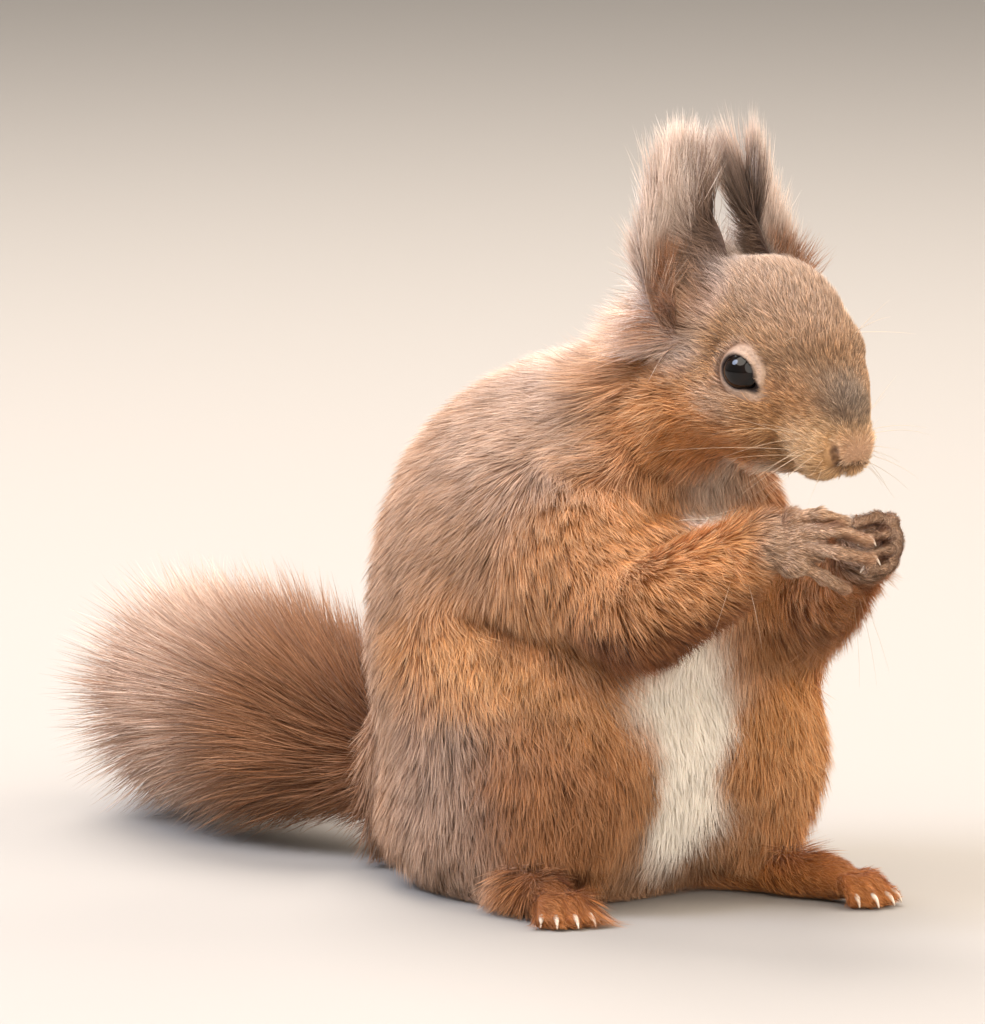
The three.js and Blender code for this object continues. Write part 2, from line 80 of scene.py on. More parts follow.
def smooth_step(low: float, high: float, value: Array) -> Array:
    """Rises smoothly from 0 at low to 1 at high."""
    t = np.clip((value - low) / (high - low), 0.0, 1.0)
    return t * t * (3.0 - 2.0 * t)


def along(vectors: Array, others: Array) -> Array:
    """The dot product of each vector with its fellow, as a column."""
    return np.sum(vectors * others, axis=-1, keepdims=True)


def laid_on(vectors: Array, normals: Array) -> Array:
    """Lays each vector on the plane square to its normal, with a length of one."""
    return unit(vectors - along(vectors, normals) * normals)


def drift(points: Array, scale: float, seed: int) -> Array:
    """A smooth random vector at each point, between -1 and 1, that changes over a distance of scale.

    Args:
        points: where the vectors are wanted.
        scale: how far apart the changes are, in mm.
        seed: of the random lattice.

    Returns:
        One vector for each point.
    """
    grid = 32
    lattice = np.random.default_rng(seed).uniform(-1.0, 1.0, (grid, grid, grid, 3))
    place = points / scale
    cell = np.floor(place).astype(int)
    share = smooth_step(0.0, 1.0, place - cell)
    total = np.zeros(points.shape)
    for corner in np.ndindex(2, 2, 2):
        index = (cell + corner) % grid
        weight = np.prod(np.where(corner, share, 1.0 - share), axis=-1, keepdims=True)
        total += weight * lattice[index[:, 0], index[:, 1], index[:, 2]]
    return total


def lock_roots(points: Array, size: float, seed: int) -> Array:
    """The root of the lock that each point belongs to: the nearest of random places about size apart.

    Args:
        points: places on the skin.
        size: how far apart the locks are, in mm.
        seed: of the random places.

    Returns:
        The root of each point's lock.
    """
    grid = 64
    jitter = np.random.default_rng(seed).uniform(0.0, 1.0, (grid, grid, grid, 3))
    cell = np.floor(points / size).astype(int)
    best = np.full(len(points), FAR)
    roots = points.copy()
    for step in np.ndindex(3, 3, 3):
        near = cell + step - 1
        index = near % grid
        place = (near + jitter[index[:, 0], index[:, 1], index[:, 2]]) * size
        distance = np.linalg.norm(place - points, axis=1)
        closer = distance < best
        best[closer] = distance[closer]
        roots[closer] = place[closer]
    return roots


def turn(axis: str, degrees: float) -> Array:
    """The 3x3 matrix of a turn about x, y or z.

    Args:
        axis: x, y or z.
        degrees: how far to turn, by the right hand.

    Returns:
        The matrix.
    """
    cosine, sine = math.cos(math.radians(degrees)), math.sin(math.radians(degrees))
    first, second = {"x": (1, 2), "y": (2, 0), "z": (0, 1)}[axis]
    matrix = np.eye(3)
    matrix[first, first] = matrix[second, second] = cosine
    matrix[first, second] = -sine
    matrix[second, first] = sine
    return matrix


def colour(code: str) -> Array:
    """The linear light of an sRGB colour written as six hex digits."""
    value = np.array([int(code[i : i + 2], 16) / 255.0 for i in (0, 2, 4)])
    return np.where(value <= 0.04045, value / 12.92, ((value + 0.055) / 1.055) ** 2.4)


# ---------------------------------------------------------------- frames


@dataclass(frozen=True)
class Space:
    """A frame in millimetres: its axes as columns, and its origin in the squirrel's own frame."""

    axes: Array
    origin: Array

    def outward(self, points: Array) -> Array:
        """Takes points from this frame to the squirrel's."""
        return np.asarray(points) @ self.axes.T + self.origin

    def inward(self, points: Array) -> Array:
        """Takes points from the squirrel's frame to this one."""
        return (points - self.origin) @ self.axes


@dataclass(frozen=True)
class HeadSpace:
    """Where the head is: the point midway between the eyes, and how the head is held."""

    eyes_middle: Point = (-3.0, -58.5, 116.5)
    pitch_down: float = 23.0
    yaw_right: float = 8.0

    def space(self) -> Space:
        """The head's frame: -y runs to the nose, z up."""
        axes = turn("z", -self.yaw_right) @ turn("x", self.pitch_down)
        return Space(axes, np.array(self.eyes_middle))


HEAD = HeadSpace().space()
PLAIN = Space(np.eye(3), np.zeros(3))  # the squirrel's own frame


def eye_centre(side: str) -> Array:
    """The centre of an eye in the model, in millimetres."""
    low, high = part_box(f"eye_{side}")
    return (np.array(low) + np.array(high)) / 2.0 / MM


# The squirrel's frame has its origin on the ground under the trunk. This takes it to the model's.
SHIFT = (eye_centre("left") + eye_centre("right")) / 2.0 - HEAD.origin


def in_model(points: Array) -> Array:
    """Takes points from the squirrel's frame in millimetres to the model's in metres."""
    return (points + SHIFT) * MM


# ---------------------------------------------------------------- clay: rounded volumes melted together


class Shape(Protocol):
    """A shape with a distance from each point to its surface, negative inside."""

    def distance(self, points: Array) -> Array:
        """The distance in millimetres from each point."""


@dataclass(frozen=True)
class Egg:
    """An ellipsoid with its own axes."""

    centre: Point
    radii: Point
    axes: Array = field(default_factory=lambda: np.eye(3))

    def distance(self, points: Array) -> Array:
        """The distance from each point, about right near the surface.

        Args:
            points: any array whose last axis is x, y, z.

        Returns:
            The distances, negative inside.
        """
        own = (points - np.array(self.centre)) @ self.axes / np.array(self.radii)
        near = np.linalg.norm(own, axis=-1)
        slope = np.linalg.norm(own / np.array(self.radii), axis=-1)
        return near * (near - 1.0) / np.maximum(slope, 1e-6)


@dataclass(frozen=True)
class Bar:
    """A round bar through points, with a radius at each."""

    points: tuple[Point, ...]
    radii: tuple[float, ...]

    def distance(self, points: Array) -> Array:
        """The distance from each point.

        Args:
            points: any array whose last axis is x, y, z.

        Returns:
            The distances, negative inside.
        """
        best = np.full(points.shape[:-1], FAR)
        for i, (near, far) in enumerate(zip(self.points, self.points[1:])):
            start = np.array(near)
            reach = np.array(far) - start
            t = np.clip((points - start) @ reach / (reach @ reach), 0.0, 1.0)
            away = np.linalg.norm(points - start - t[..., None] * reach, axis=-1)
            best = np.minimum(best, away - mix(self.radii[i], self.radii[i + 1], t))
        return best


@dataclass
class Clay:
    """Volumes melted into, or carved from, what is already there."""

    steps: list[Callable[[Array, Array], Array]] = field(default_factory=list)

    def add(self, width: float, *shapes: Shape) -> None:
        """Melts shapes in, over a width."""
        for shape in shapes:
            self.steps.append(lambda points, old, shape=shape: melted(old, shape.distance(points), width))

    def carve(self, width: float, *shapes: Shape) -> None:
        """Takes shapes away, with edges rounded over a width."""
        for shape in shapes:
            self.steps.append(lambda points, old, shape=shape: -melted(-old, shape.distance(points), width))

    def thin(self, depth: Callable[[Array], Array]) -> None:
        """Moves the surface inwards by the depth at each point."""
        self.steps.append(lambda points, old: old + depth(points))

    def distance(self, points: Array) -> Array:
        """The distance from each point to the whole.

        Args:
            points: any array whose last axis is x, y, z.

        Returns:
            The distances, negative inside.
        """
        total = np.full(points.shape[:-1], FAR)
        for step in self.steps:
            total = step(points, total)
        return total


def melted(one: Array, other: Array, width: float) -> Array:
    """The smaller of two distances, blended where they are within a width of each other."""
    closeness = np.maximum(width - np.abs(one - other), 0.0) / width
    return np.minimum(one, other) - closeness * closeness * width / 4.0


CORNERS = tuple(np.ndindex(2, 2, 2))


def cells(corner: tuple[int, ...], lattice: Array) -> Array:
    """What each cell of a lattice has at one of its corners."""
    return lattice[tuple(slice(start, size - 1 + start) for start, size in zip(corner, lattice.shape))]


def surface_points(values: Array, grid: Array) -> tuple[Array, Array]:
    """Places a point in each cell that the surface passes through, amid its crossings of the edges.

    Args:
        values: the distance from each place of the grid to the surface.
        grid: the places.

    Returns:
        The points; and for each cell its point's number, or -1.
    """
    inside = values < 0.0
    held = sum(cells(corner, inside).astype(int) for corner in CORNERS)
    mixed = (held > 0) & (held < len(CORNERS))
    total = np.zeros((mixed.sum(), 3))
    crossings = np.zeros((mixed.sum(), 1))
    for low in CORNERS:
        for axis in range(3):
            if low[axis]:
                continue
            high = tuple(1 if i == axis else low[i] for i in range(3))
            here, there = cells(low, values)[mixed], cells(high, values)[mixed]
            crosses = ((here < 0.0) != (there < 0.0))[:, None]
            share = np.clip(here / np.where(here == there, 1.0, here - there), 0.0, 1.0)[:, None]
            total += crosses * mix(cells(low, grid)[mixed], cells(high, grid)[mixed], share)
            crossings += crosses
    number = np.full(mixed.shape, -1)
    number[mixed] = np.arange(len(total))
    return total / crossings, number


def surface_quads(inside: Array, number: Array) -> Array:
    """Joins the points of the four cells round each edge that the surface crosses.

    Args:
        inside: whether each place of the grid is inside.
        number: for each cell its point's number.

    Returns:
        The quads, facing outwards.
    """
    quads = []
    for axis in range(3):
        second, third = (axis + 1) % 3, (axis + 2) % 3
        ends = [slice(1, -1)] * 3
        ends[axis] = slice(None, -1)
        beyond = list(ends)
        beyond[axis] = slice(1, None)
        here, there = inside[tuple(ends)], inside[tuple(beyond)]
        place = np.argwhere(here != there)
        outward = here[tuple(place.T)]
        place[:, second] += 1
        place[:, third] += 1
        ring = []
        for back, down in ((1, 1), (0, 1), (0, 0), (1, 0)):
            near = place.copy()
            near[:, second] -= back
            near[:, third] -= down
            ring.append(number[tuple(near.T)])
        quad = np.stack(ring, axis=1)
        quads.append(np.where(outward[:, None], quad, quad[:, ::-1]))
    return np.concatenate(quads)


def skinned(clay: Clay, low: Point, high: Point, cell: float) -> tuple[Array, Array]:
    """Draws the surface of clay as a closed net of quads.

    Args:
        clay: what is drawn.
        low: the lowest corner of the box that holds it.
        high: the highest corner of that box.
        cell: the size of a quad.

    Returns:
        The points and the quads.
    """
    counts = np.ceil((np.array(high) - low) / cell).astype(int) + 1
    axes = [low[i] + cell * np.arange(counts[i]) for i in range(3)]
    grid = np.stack(np.meshgrid(*axes, indexing="ij"), axis=-1)
    values = clay.distance(grid)
    for axis in range(3):
        ends = [slice(None)] * 3
        ends[axis] = [0, -1]
        values[tuple(ends)] = np.maximum(values[tuple(ends)], cell)
    points, number = surface_points(values, grid)
    return points, surface_quads(values < 0.0, number)


# ---------------------------------------------------------------- meshes


@dataclass
class Net:
    """A mesh as arrays, in the squirrel's millimetres."""

    points: Array
    faces: Array

    def thing(self, name: str) -> bpy.types.Object:
        """Makes an object of the net, in the model's metres.

        Args:
            name: of the object and its mesh.

        Returns:
            The object, linked to the scene.
        """
        mesh = bpy.data.meshes.new(name)
        count, corners = self.faces.shape
        mesh.vertices.add(len(self.points))
        mesh.vertices.foreach_set("co", in_model(self.points).astype(np.float32).ravel())
        mesh.loops.add(count * corners)
        mesh.loops.foreach_set("vertex_index", self.faces.astype(np.int32).ravel())
        mesh.polygons.add(count)
        mesh.polygons.foreach_set("loop_start", np.arange(0, count * corners, corners, dtype=np.int32))
        mesh.polygons.foreach_set("use_smooth", np.ones(count, dtype=bool))
        mesh.update(calc_edges=True)
        thing = bpy.data.objects.new(name, mesh)
        bpy.context.scene.collection.objects.link(thing)
        return thing


def triangulated(net: Net) -> Net:
    """Splits quads into triangles.

    Args:
        net: of triangles or quads.

    Returns:
        The net of triangles.
    """
    if net.faces.shape[1] == 3:
        return net
    return Net(net.points, np.concatenate([net.faces[:, [0, 1, 2]], net.faces[:, [0, 2, 3]]]))


def joined(nets: list[Net]) -> Net:
    """Puts nets with like faces into one.

    Args:
        nets: closed nets, all of triangles or all of quads.

    Returns:
        The one net.
    """
    starts = np.cumsum([0] + [len(net.points) for net in nets[:-1]])
    points = np.concatenate([net.points for net in nets])
    return Net(points, np.concatenate([net.faces + start for net, start in zip(nets, starts)]))


def shaped(thing: bpy.types.Object) -> bpy.types.Mesh:
    """The mesh of an object after its modifiers."""
    evaluated = thing.evaluated_get(bpy.context.evaluated_depsgraph_get())
    return bpy.data.meshes.new_from_object(evaluated)


def triangles(mesh: bpy.types.Mesh) -> Net:
    """Reads a mesh in metres as triangles in the squirrel's millimetres.

    Args:
        mesh: a mesh of faces of any size.

    Returns:
        The net of its triangles.
    """
    mesh.calc_loop_triangles()
    points = np.empty(len(mesh.vertices) * 3)
    mesh.vertices.foreach_get("co", points)
    faces = np.empty(len(mesh.loop_triangles) * 3, dtype=np.int32)
    mesh.loop_triangles.foreach_get("vertices", faces)
    return Net(points.reshape(-1, 3) / MM - SHIFT, faces.reshape(-1, 3))


def normals_of(mesh: bpy.types.Mesh) -> Array:
    """The normal at each point of a mesh.

    Args:
        mesh: any mesh.

    Returns:
        One normal for each of its points.
    """
    normals = np.empty(len(mesh.vertices) * 3)
    mesh.vertex_normals.foreach_get("vector", normals)
    return normals.reshape(-1, 3)


def remeshed(net: Net, voxel: float, rounds: int) -> Net:
    """Draws a net again as one closed skin of even quads, and smooths it.

    Args:
        net: closed solids, which may overlap.
        voxel: the size of a quad, in mm.
        rounds: how often the skin is smoothed.

    Returns:
        The one skin, as triangles.
    """
    thing = net.thing("draft")
    thing.modifiers.new("even", "REMESH").voxel_size = voxel * MM
    smoothing = thing.modifiers.new("smooth", "SMOOTH")
    smoothing.factor = 0.5
    smoothing.iterations = rounds
    mesh = shaped(thing)
    result = triangles(mesh)
    bpy.data.objects.remove(thing)
    bpy.data.meshes.remove(mesh)
    return result


def united(nets: list[Net], name: str) -> bpy.types.Object:
    """Joins closed nets into one closed skin.

    Args:
        nets: closed nets of triangles that overlap.
        name: of the skin.

    Returns:
        The skin, linked to the scene.
    """
    things = [net.thing(f"{name}_{i}") for i, net in enumerate(nets)]
    for other in things[1:]:
        join = things[0].modifiers.new("join", "BOOLEAN")
        join.operation = "UNION"
        join.solver = "MANIFOLD"
        join.object = other
    mesh = shaped(things[0])
    for thing in things:
        bpy.data.objects.remove(thing)
    mesh.name = name
    whole = bpy.data.objects.new(name, mesh)
    bpy.context.scene.collection.objects.link(whole)
    mesh.polygons.foreach_set("use_smooth", np.ones(len(mesh.polygons), dtype=bool))
    return whole


def ball(rows: int, columns: int) -> Net:
    """A unit ball of triangles, its poles on z.

    Args:
        rows: bands from pole to pole.
        columns: faces around each band.

    Returns:
        The ball.
    """
    rings = np.pi * np.arange(1, rows) / rows
    turns = 2.0 * np.pi * np.arange(columns) / columns
    ring, lap = np.meshgrid(rings, turns, indexing="ij")
    middle = np.stack([np.sin(ring) * np.cos(lap), np.sin(ring) * np.sin(lap), np.cos(ring)], axis=-1)
    points = np.concatenate([middle.reshape(-1, 3), [[0.0, 0.0, 1.0], [0.0, 0.0, -1.0]]])
    number = np.arange((rows - 1) * columns).reshape(rows - 1, columns)
    beside = np.roll(number, -1, axis=1)
    sides = [
        np.stack([number[:-1], number[1:], beside[1:]], axis=-1),
        np.stack([number[:-1], beside[1:], beside[:-1]], axis=-1),
    ]
    top, bottom = len(points) - 2, len(points) - 1
    caps = [
        np.stack([np.full(columns, top), number[0], beside[0]], axis=-1),
        np.stack([np.full(columns, bottom), beside[-1], number[-1]], axis=-1),
    ]
    return Net(points, np.concatenate([side.reshape(-1, 3) for side in sides] + caps))


# ---------------------------------------------------------------- finishes


@dataclass(frozen=True)
class Finish:
    """A finish whose colour comes from the points of the mesh, with fine streaks and bumps of its own."""

    name: str
    roughness: float
    specular: float = 0.3
    sheen: float = 0.0
    streak_scale: float = 900.0
    streak_depth: float = 0.12
    bump: float = 0.0
    bump_depth: float = 0.0004  # m

    def material(self) -> bpy.types.Material:
        """Makes the material.

        Returns:
            The material, which takes its colour from the "tint" attribute.
        """
        material = bpy.data.materials.new(self.name)
        material.use_nodes = True
        nodes, links = material.node_tree.nodes, material.node_tree.links
        shader = nodes["Principled BSDF"]
        shader.inputs["Roughness"].default_value = self.roughness
        shader.inputs["Specular IOR Level"].default_value = self.specular
        shader.inputs["Sheen Weight"].default_value = self.sheen
        shader.inputs["Sheen Roughness"].default_value = 0.45
        place = nodes.new("ShaderNodeTexCoord")
        grain = nodes.new("ShaderNodeTexNoise")
        grain.inputs["Scale"].default_value = self.streak_scale
        grain.inputs["Detail"].default_value = 4.0
        links.new(place.outputs["Object"], grain.inputs["Vector"])
        shade = nodes.new("ShaderNodeMapRange")
        shade.inputs["To Min"].default_value = 1.0 - self.streak_depth
        shade.inputs["To Max"].default_value = 1.0 + self.streak_depth
        links.new(grain.outputs["Fac"], shade.inputs["Value"])
        tint = nodes.new("ShaderNodeAttribute")
        tint.attribute_name = "tint"
        tone = nodes.new("ShaderNodeVectorMath")
        tone.operation = "SCALE"
        links.new(tint.outputs["Color"], tone.inputs[0])
        links.new(shade.outputs["Result"], tone.inputs["Scale"])
        links.new(tone.outputs["Vector"], shader.inputs["Base Color"])
        if self.bump:
            bump = nodes.new("ShaderNodeBump")
            bump.inputs["Strength"].default_value = self.bump
            bump.inputs["Distance"].default_value = self.bump_depth
            links.new(grain.outputs["Fac"], bump.inputs["Height"])
            links.new(bump.outputs["Normal"], shader.inputs["Normal"])
        return material


COAT = Finish("fur", roughness=0.62, specular=0.22, sheen=0.15, streak_scale=420.0)
BARE = Finish("furred skin", roughness=0.7, streak_scale=1500.0, streak_depth=0.25, bump=0.8)
HORN = Finish("claw horn", roughness=0.35, specular=0.5, streak_scale=1200.0)
EYEBALL = Finish("wet eye", roughness=0.05, specular=0.3, streak_scale=700.0)
BRISTLE = Finish("whisker", roughness=0.4, specular=0.5)


def tinted(thing: bpy.types.Object, tint: Array) -> None:
    """Writes a colour at each point of an object's mesh.

    Args:
        thing: the object to colour.
        tint: a linear colour for each point of its mesh.
    """
    attribute = thing.data.color_attributes.new("tint", "FLOAT_COLOR", "POINT")
    values = np.concatenate([tint, np.ones((len(tint), 1))], axis=1)
    attribute.data.foreach_set("color", values.astype(np.float32).ravel())


def finished(thing: bpy.types.Object, finish: Finish, slot: str, *nodes: str) -> bpy.types.Object:
    """Dresses a piece and lets it ride on the body in place of its nodes.

    Args:
        thing: the piece.
        finish: what it is dressed in.
        slot: the slot of the record that it belongs to, which is not used.
        *nodes: the solids that it stands for.

    Returns:
        The piece.
    """
    material = bpy.data.materials.get(finish.name) or finish.material()
    thing.data.materials.clear()
    thing.data.materials.append(material)
    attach(thing, BODY)
    if nodes:
        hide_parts(*nodes)
    log.info("%s: %d faces", thing.name, len(thing.data.polygons))
    return thing


# ---------------------------------------------------------------- how the coat lies


class Part(Enum):
    """The stretches of the coat, each with hair of its own."""

    NOSE = "nose"
    FACE = "face"
    CHEEK = "cheek"
    CROWN = "crown"
    THROAT = "throat"
    NECK = "neck"
    NAPE = "nape"
    BACK = "back"
    FLANK = "flank"
    BELLY = "belly"
    UPPER_ARM = "upper_arm"
    FOREARM = "forearm"
    HAND = "hand"
    THIGH = "thigh"
    FOOT = "foot"
    TAIL_ROOT = "tail_root"
    TAIL = "tail"
    EAR_FRONT = "ear_front"
    EAR_BACK = "ear_back"
    EAR_FRINGE = "ear_fringe"
    EAR_TUFT = "ear_tuft"


# How far along a hair each pair of its side points lies, for hairs shorter than so many millimetres.
RINGS = {6.0: (0.45,), 16.0: (0.3, 0.65), FAR: (0.18, 0.42, 0.72)}


@dataclass(frozen=True)
class Hair:
    """What the hair of one part is like."""

    length: float  # mm
    lift: float  # degrees off the skin at the root
    rest: float  # degrees off the skin at the tip
    density: float  # hairs to a square millimetre
    width: float  # mm
    lock: float  # mm between locks
    gather: float  # how far hairs draw together into their lock, 0 to 1
    stray: float = 0.18  # how far each hair turns its own way

    def rings(self) -> tuple[float, ...]:
        """The rings of side points that a hair of this length has."""
        return next(rings for most, rings in RINGS.items() if self.length < most)


TRAITS = [trait.name for trait in fields(Hair)]

HAIR = {
    Part.NOSE: Hair(0.6, 14, 8, 18, 0.08, 1.2, 0.1, 0.3),
    Part.FACE: Hair(2.2, 18, 11, 20, 0.09, 1.3, 0.35, 0.2),
    Part.CHEEK: Hair(4.0, 24, 14, 11, 0.12, 2.2, 0.3, 0.2),
    Part.CROWN: Hair(3.4, 24, 15, 14, 0.10, 2.0, 0.25, 0.2),
    Part.THROAT: Hair(6.5, 24, 16, 7, 0.14, 3.0, 0.3),
    Part.NECK: Hair(10.5, 34, 22, 6.5, 0.14, 4.0, 0.45),
    Part.NAPE: Hair(15.9, 56, 44, 7.5, 0.13, 3.6, 0.4),
    Part.BACK: Hair(9.5, 28, 18, 6.5, 0.14, 4.2, 0.4),
    Part.FLANK: Hair(9.8, 27, 17, 6.5, 0.14, 4.6, 0.5),
    Part.BELLY: Hair(8.5, 24, 15, 6.3, 0.14, 3.8, 0.4),
    Part.UPPER_ARM: Hair(8.0, 28, 18, 7.5, 0.13, 3.4, 0.55),
    Part.FOREARM: Hair(7.4, 30, 20, 8.5, 0.12, 2.8, 0.6),
    Part.HAND: Hair(1.7, 12, 7, 20, 0.10, 1.0, 0.35, 0.12),
    Part.THIGH: Hair(9.8, 27, 17, 6.5, 0.14, 4.6, 0.5),
    Part.FOOT: Hair(2.6, 20, 8, 10, 0.11, 1.6, 0.4),
    Part.TAIL_ROOT: Hair(14.0, 40, 30, 6.5, 0.16, 4.0, 0.35),
    Part.TAIL: Hair(30.5, 56, 42, 12, 0.17, 4.5, 0.28),
    Part.EAR_FRONT: Hair(4.0, 22, 14, 12, 0.10, 1.8, 0.25),
    Part.EAR_BACK: Hair(5.8, 24, 16, 13, 0.10, 2.2, 0.25),
    Part.EAR_FRINGE: Hair(11.0, 22, 12, 14, 0.11, 2.6, 0.3, 0.2),
    Part.EAR_TUFT: Hair(17.0, 24, 14, 16, 0.12, 3.0, 0.3, 0.17),
}


@dataclass(frozen=True)
class Lie:
    """A path that the hair of one part follows, in some frame, and how far its say reaches."""

    part: Part
    points: tuple[Point, ...]
    reach: float
    space: Space | None = None
    sag: float = 0.0  # how far the hair hangs down from the path's own way

    def stretches(self) -> list[tuple[Array, Array]]:
        """The path's straight stretches, in the squirrel's frame.

        Returns:
            The start and the end of each stretch.
        """
        own = np.array(self.points)
        path = self.space.outward(own) if self.space else own
        return list(zip(path, path[1:]))


@dataclass
class Pelt:
    """All the lies of the coat, blended by how near each one is."""

    lies: list[Lie]

    def weights(self, points: Array) -> tuple[Array, Array, list[Part]]:
        """How much each stretch of each lie has to say at each point.

        Args:
            points: places on the skin.

        Returns:
            The weights, one column for each stretch, adding up to one; the stretches' directions; and the
            part of each stretch.
        """
        columns, directions, parts = [], [], []
        for lie in self.lies:
            for start, end in lie.stretches():
                reach = end - start
                t = np.clip((points - start) @ reach / (reach @ reach), 0.0, 1.0)
                away = np.linalg.norm(points - start - t[:, None] * reach, axis=1) / lie.reach
                columns.append(1.0 / (1e-4 + away**4))
                directions.append(unit(unit(reach) - [0.0, 0.0, lie.sag]))
                parts.append(lie.part)
        weights = np.stack(columns, axis=1)
        return weights / weights.sum(axis=1, keepdims=True), np.array(directions), parts


@dataclass(frozen=True)
class Tone:
    """The colours along a hair, as sRGB codes, and how much the hairs differ from each other."""

    root: str
    shaft: str
    tip: str
    spread: float = 0.12
    dark: float = 0.0  # the share of hairs that are dark

    def colours(self) -> Array:
        """The three colours as rows."""
        return np.stack([colour(self.root), colour(self.shaft), colour(self.tip)])


class Tones(Enum):
    """The coat's colours, and the tones that paint shade and light on it."""

    BACK = Tone("6a4c3a", "ab7f5c", "dfc0a6")
    NAPE = Tone("7a5f4e", "bd9a80", "ecd6c6")
    FLANK = Tone("5f3f2a", "a5764f", "d3a985")
    RUST = Tone("7c4724", "c58043", "ecc294")
    # Painted shade in folds, under limbs and between digits, and the dark hair under the forearm.
    UMBER = Tone("33190c", "6a3719", "9c5f35")
    CREAM = Tone("f2e7d6", "fdf4e6", "fffaf0", 0.04)
    THIGH = Tone("634839", "a27d64", "d8bba2")
    HEAD = Tone("54372a", "b08054", "e6c096", 0.34, 0.32)
    BROW = Tone("5a4436", "b08b6e", "ead2bc", 0.3, 0.26)
    MUZZLE = Tone("8f6842", "d6aa78", "f6deba", 0.2, 0.12)
    BRIDGE = Tone("483a31", "846d5a", "c8b29c", 0.36, 0.42)
    NOSE = Tone("a07a60", "cfa88a", "ecd2ba", 0.1)
    # Painted shade for the nostrils and the groove under the nose.
    NOSTRIL = Tone("38221a", "4d3125", "7d5c4a", 0.08)
    EYE_RING = Tone("a68b76", "bd9f87", "dcc2aa", 0.05)
    LID = Tone("1d120e", "2e1d16", "4a3226", 0.05)
    EAR_RIM = Tone("32211a", "59402f", "8f6f59", 0.16)
    EAR_HAIR = Tone("6a4630", "a0724f", "cca27e", 0.2, 0.1)
    EAR_HOLLOW = Tone("4c2a18", "8a5534", "b98258", 0.18)
    EAR_PALE = Tone("8f7567", "cdb5a5", "f4e6da", 0.12)
    TAIL = Tone("5e3620", "966848", "ecd4c0", 0.15)
    TAIL_CORE = Tone("48280f", "7b4c2c", "b88a66", 0.16)
    FOOT = Tone("7a4420", "bd7436", "dda46c")
    HAND = Tone("5e4433", "bb9474", "ecd4bc", 0.3, 0.2)
    # Golden hair, laid where light is painted on the tops of the thighs and forearms.
    GOLD = Tone("8c5328", "dc9650", "f6d2a2")
    SHADE = Tone("4a3628", "8d6f58", "bfa284", 0.16)


@dataclass(frozen=True)
class Marking:
    """An egg-shaped patch of the coat with a tone of its own and a soft edge."""

    tone: Tones
    centre: Point
    radii: Point
    edge: float = 0.35
    space: Space | None = None
    share: float = 1.0
    facing: Point | None = None  # the way the skin must face to take the marking

    def mask(self, points: Array, normals: Array) -> Array:
        """How strongly the marking shows at each point, 0 to 1, as a column.

        Args:
            points: places in the squirrel's frame.
            normals: the skin's normals there.

        Returns:
            The strengths, as a column.
        """
        own = self.space.inward(points) if self.space else points
        away = np.linalg.norm((own - np.array(self.centre)) / np.array(self.radii), axis=1)
        strength = self.share * (1.0 - smooth_step(1.0 - self.edge, 1.0 + self.edge, away))
        if self.facing is not None:
            way = self.space.axes @ self.facing if self.space else np.array(self.facing)
            strength = strength * smooth_step(-0.1, 0.5, normals @ way)
        return strength[:, None]


@dataclass
class Pattern:
    """The markings of the whole coat, laid one over another."""

    ground: Tones
    markings: list[Marking]
    blur: float = 2.2  # mm by which the markings' edges wander
    blur_scale: float = 7.0  # mm

    def tones(self, points: Array, normals: Array) -> tuple[Array, Array]:
        """The colours of the hair at each point.

        Args:
            points: the places of the roots.
            normals: the skin's normals there.

        Returns:
            The root, shaft and tip colours, as rows of three, and the spread and dark share among hairs.
        """
        blurred = points + self.blur * drift(points, self.blur_scale, SEED)
        colours = np.tile(self.ground.value.colours(), (len(points), 1, 1))
        ground = self.ground.value
        variety = np.tile([ground.spread, ground.dark], (len(points), 1))
        for marking in self.markings:
            mask = marking.mask(blurred if marking.space is None else points, normals)
            colours = mix(colours, marking.tone.value.colours(), mask[:, :, None])
            variety = mix(variety, np.array([marking.tone.value.spread, marking.tone.value.dark]), mask)
        return colours, variety


def mirrored(points: tuple[Point, ...], side: float) -> tuple[Point, ...]:
    """Puts a path of the left side on a side."""
    return tuple((side * x, y, z) for x, y, z in points)


# ---------------------------------------------------------------- the body


@dataclass(frozen=True)
class Arm:
    """An arm: its joints, and each digit as its knuckle, bend, tip and the point of its claw."""

    elbow: Point
    wrist: Point
    palm: Point
    digits: tuple[tuple[Point, Point, Point, Point], ...]

    def hollows(self) -> list[Array]:
        """The places between the bends of neighbouring digits."""
        bends = [np.array(digit[1], dtype=float) for digit in self.digits]
        return [mix(a, b, 0.5) for a, b in zip(bends, bends[1:])]


ARMS = {
    "right": Arm(
        elbow=(-27, -34, 66),
        wrist=(-14.5, -62, 81.6),
        palm=(-12.8, -67.5, 81.8),
        digits=(
            ((-13.5, -68.5, 87), (-11.5, -74, 88), (-6.5, -75.8, 86.3), (-4.6, -75, 84.8)),
            ((-13.3, -70, 84.5), (-10.3, -77.2, 85.2), (-3.7, -79.7, 82.6), (-1.4, -80.6, 81.2)),
            ((-13.2, -70, 81.5), (-9.8, -77, 80.6), (-2.9, -79.8, 78.7), (-0.4, -80.9, 77.2)),
            ((-12.3, -69, 78), (-9.3, -72.7, 75), (-4, -73.6, 72.2), (-1.8, -73, 71)),
        ),
    ),
    "left": Arm(
        elbow=(26, -29, 61),
        wrist=(9.5, -66, 77),
        palm=(11.2, -71.5, 80),
        digits=(
            ((10.5, -73, 84), (4, -75.8, 86), (0.2, -73.6, 85.2), (-0.8, -71.8, 83.8)),
            ((11, -74, 81.3), (4.3, -77.7, 83.2), (2.2, -75, 81.8), (0.8, -73.4, 80.4)),
            ((11.3, -73.5, 78.6), (5.8, -77.2, 79.5), (3.6, -74.9, 78.5), (2.2, -73.3, 77.2)),
            ((10.8, -71.8, 76.3), (6.6, -75.2, 75.8), (4.6, -73.2, 75.3), (3.4, -71.6, 74.2)),
        ),
    ),
}


